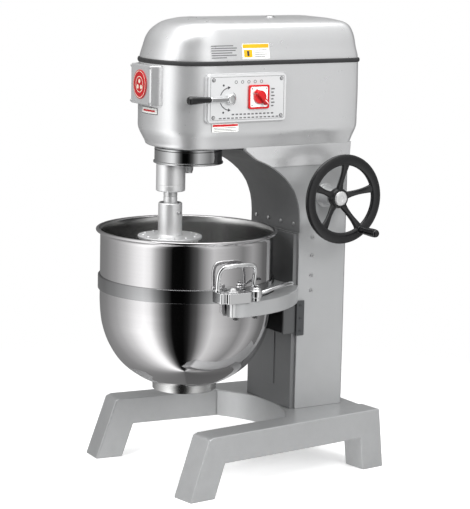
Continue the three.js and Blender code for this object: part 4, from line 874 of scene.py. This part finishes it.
# ------------------------------------------------------------------ floor, light, surroundings
def floor():
    v, f, n, R = [(0, 0, 0)], [], 96, [0.3, 0.7, 1.2, 1.8, 2.6]
    for r in R:
        for i in range(n):
            v.append((r * math.cos(2 * math.pi * i / n), r * math.sin(2 * math.pi * i / n), 0))
    for i in range(n):
        f.append((0, 1 + i, 1 + (i + 1) % n))
        for k in range(len(R) - 1):
            a, b = 1 + k * n, 1 + (k + 1) * n
            f.append((a + i, b + i, b + (i + 1) % n, a + (i + 1) % n))
    me = bpy.data.meshes.new("floor"); me.from_pydata(v, [], f)
    o = bpy.data.objects.new("floor", me); bpy.context.scene.collection.objects.link(o)
    m = bpy.data.materials.new("floor_pale"); m.use_nodes = True
    nt = m.node_tree; b = nt.nodes["Principled BSDF"]; out = nt.nodes["Material Output"]
    b.inputs["Base Color"].default_value = (0.78, 0.78, 0.78, 1); b.inputs["Roughness"].default_value = 0.8
    b.inputs["Emission Color"].default_value = (1, 1, 1, 1); b.inputs["Emission Strength"].default_value = 0.42
    tr = nt.nodes.new("ShaderNodeBsdfTransparent")
    t = nt.nodes.new("ShaderNodeTexCoord"); ln = nt.nodes.new("ShaderNodeVectorMath"); ln.operation = "LENGTH"
    nt.links.new(t.outputs["Object"], ln.inputs[0])
    mr = nt.nodes.new("ShaderNodeMapRange")
    for k, q in (("From Min", 0.45), ("From Max", 1.5), ("To Min", 0.0), ("To Max", 1.0)):
        mr.inputs[k].default_value = q
    nt.links.new(ln.outputs["Value"], mr.inputs["Value"])
    lp = nt.nodes.new("ShaderNodeLightPath")
    mx = nt.nodes.new("ShaderNodeMath"); mx.operation = "MAXIMUM"
    nt.links.new(mr.outputs["Result"], mx.inputs[0]); nt.links.new(lp.outputs["Is Glossy Ray"], mx.inputs[1])
    ms = nt.nodes.new("ShaderNodeMixShader")
    nt.links.new(mx.outputs["Value"], ms.inputs["Fac"]); nt.links.new(b.outputs["BSDF"], ms.inputs[1]); nt.links.new(tr.outputs["BSDF"], ms.inputs[2])
    nt.links.new(ms.outputs["Shader"], out.inputs["Surface"])
    me.materials.append(m)


floor()


def area(name, loc, target, size, power, glossy=False):
    d = bpy.data.lights.new(name, "AREA"); d.shape = "RECTANGLE"; d.size, d.size_y = size; d.energy = power
    o = bpy.data.objects.new(name, d); bpy.context.scene.collection.objects.link(o)
    o.location = loc
    o.rotation_mode = "QUATERNION"
    o.rotation_quaternion = (Vector(target) - Vector(loc)).to_track_quat("-Z", "Y")
    o.visible_glossy = glossy
    return o


def rel(a, e, d, c=(0, 0, 0.6)):
    a, e = math.radians(57.71 + a), math.radians(e)
    return (c[0] + d * math.sin(a) * math.cos(e), c[1] - d * math.cos(a) * math.cos(e), c[2] + d * math.sin(e))


area("key", rel(-38, 34, 3.2), (0, 0, 0.85), (1.6, 1.6), 70)
area("fill", rel(40, 26, 3.0), (0, 0, 0.85), (1.6, 1.6), 98)
area("top", (0.1, -0.1, 2.3), (0, 0, 1.0), (1.6, 1.9), 23, True)
area("back", rel(170, 40, 3.2), (0, 0, 0.6), (2.0, 2.0), 30)


def world():
    w = bpy.data.worlds.new("studio"); bpy.context.scene.world = w; w.use_nodes = True
    nt = w.node_tree
    for n in list(nt.nodes):
        nt.nodes.remove(n)
    out = nt.nodes.new("ShaderNodeOutputWorld")
    t = nt.nodes.new("ShaderNodeTexCoord"); sep = nt.nodes.new("ShaderNodeSeparateXYZ")
    nt.links.new(t.outputs["Generated"], sep.inputs["Vector"])
    neg = nt.nodes.new("ShaderNodeMath"); neg.operation = "MULTIPLY"; neg.inputs[1].default_value = -1
    nt.links.new(sep.outputs["Y"], neg.inputs[0])
    at = nt.nodes.new("ShaderNodeMath"); at.operation = "ARCTAN2"
    nt.links.new(sep.outputs["X"], at.inputs[0]); nt.links.new(neg.outputs["Value"], at.inputs[1])
    fr = nt.nodes.new("ShaderNodeMath"); fr.operation = "MULTIPLY_ADD"
    nt.links.new(at.outputs["Value"], fr.inputs[0]); fr.inputs[1].default_value = 1 / (2 * math.pi); fr.inputs[2].default_value = 1.5 - 57.71 / 360
    fc = nt.nodes.new("ShaderNodeMath"); fc.operation = "FRACT"
    nt.links.new(fr.outputs["Value"], fc.inputs[0])
    r = nt.nodes.new("ShaderNodeValToRGB")
    stops = [(-180, 0.16), (-150, 0.22), (-130, 0.28), (-105, 0.46), (-85, 0.74), (-68, 1.12), (-56, 1.3), (-47, 1.12), (-39, 0.62), (-31, 0.28), (-25, 0.09), (-17, 0.003), (-2, 0.002), (5, 0.012), (10, 0.05), (16, 0.1), (27, 0.42),
             (38, 0.74), (52, 0.6), (68, 0.4), (82, 0.26), (100, 0.44), (124, 0.16), (150, 0.12)]
    e = r.color_ramp.elements
    while len(e) < len(stops):
        e.new(0.5)
    for el, (a, v) in zip(e, stops):
        el.position = (a + 180) / 360
        el.color = (v, v, v, 1)
    nt.links.new(fc.outputs["Value"], r.inputs["Fac"])
    # brighter overhead, dimmer far below
    el = nt.nodes.new("ShaderNodeValToRGB")
    e2 = el.color_ramp.elements
    st2 = [(0.0, 1.3), (0.28, 1.4), (0.42, 1.15), (0.5, 1.0), (0.62, 1.05), (0.8, 1.5), (1.0, 1.9)]
    while len(e2) < len(st2):
        e2.new(0.5)
    for q, (p, v) in zip(e2, st2):
        q.position = p; q.color = (v, v, v, 1)
    mr = nt.nodes.new("ShaderNodeMapRange")
    for k, q in (("From Min", -1.0), ("From Max", 1.0)):
        mr.inputs[k].default_value = q
    nt.links.new(sep.outputs["Z"], mr.inputs["Value"]); nt.links.new(mr.outputs["Result"], el.inputs["Fac"])
    # overhead the bands fade into an even tone
    fz = nt.nodes.new("ShaderNodeMapRange")
    for k, q in (("From Min", 0.45), ("From Max", 0.95)):
        fz.inputs[k].default_value = q
    nt.links.new(sep.outputs["Z"], fz.inputs["Value"])
    mixe = nt.nodes.new("ShaderNodeMix"); mixe.data_type = "RGBA"; mixe.inputs[7].default_value = (0.5, 0.5, 0.5, 1)
    nt.links.new(fz.outputs["Result"], mixe.inputs[0]); nt.links.new(r.outputs["Color"], mixe.inputs[6])
    mul = nt.nodes.new("ShaderNodeMix"); mul.data_type = "RGBA"; mul.blend_type = "MULTIPLY"; mul.inputs[0].default_value = 1
    nt.links.new(mixe.outputs[2], mul.inputs[6]); nt.links.new(el.outputs["Color"], mul.inputs[7])
    gl = nt.nodes.new("ShaderNodeBackground"); nt.links.new(mul.outputs[2], gl.inputs["Color"]); gl.inputs["Strength"].default_value = 1.0
    wh = nt.nodes.new("ShaderNodeBackground"); wh.inputs["Color"].default_value = (1, 1, 1, 1); wh.inputs["Strength"].default_value = 1.0
    df = nt.nodes.new("ShaderNodeBackground"); df.inputs["Color"].default_value = (0.98, 0.99, 1, 1); df.inputs["Strength"].default_value = 0.36
    lp = nt.nodes.new("ShaderNodeLightPath")
    m1 = nt.nodes.new("ShaderNodeMixShader"); m2 = nt.nodes.new("ShaderNodeMixShader")
    nt.links.new(lp.outputs["Is Glossy Ray"], m1.inputs["Fac"]); nt.links.new(df.outputs["Background"], m1.inputs[1]); nt.links.new(gl.outputs["Background"], m1.inputs[2])
    nt.links.new(lp.outputs["Is Camera Ray"], m2.inputs["Fac"]); nt.links.new(m1.outputs["Shader"], m2.inputs[1]); nt.links.new(wh.outputs["Background"], m2.inputs[2])
    nt.links.new(m2.outputs["Shader"], out.inputs["Surface"])


world()
bpy.context.scene.view_settings.view_transform = "Standard"
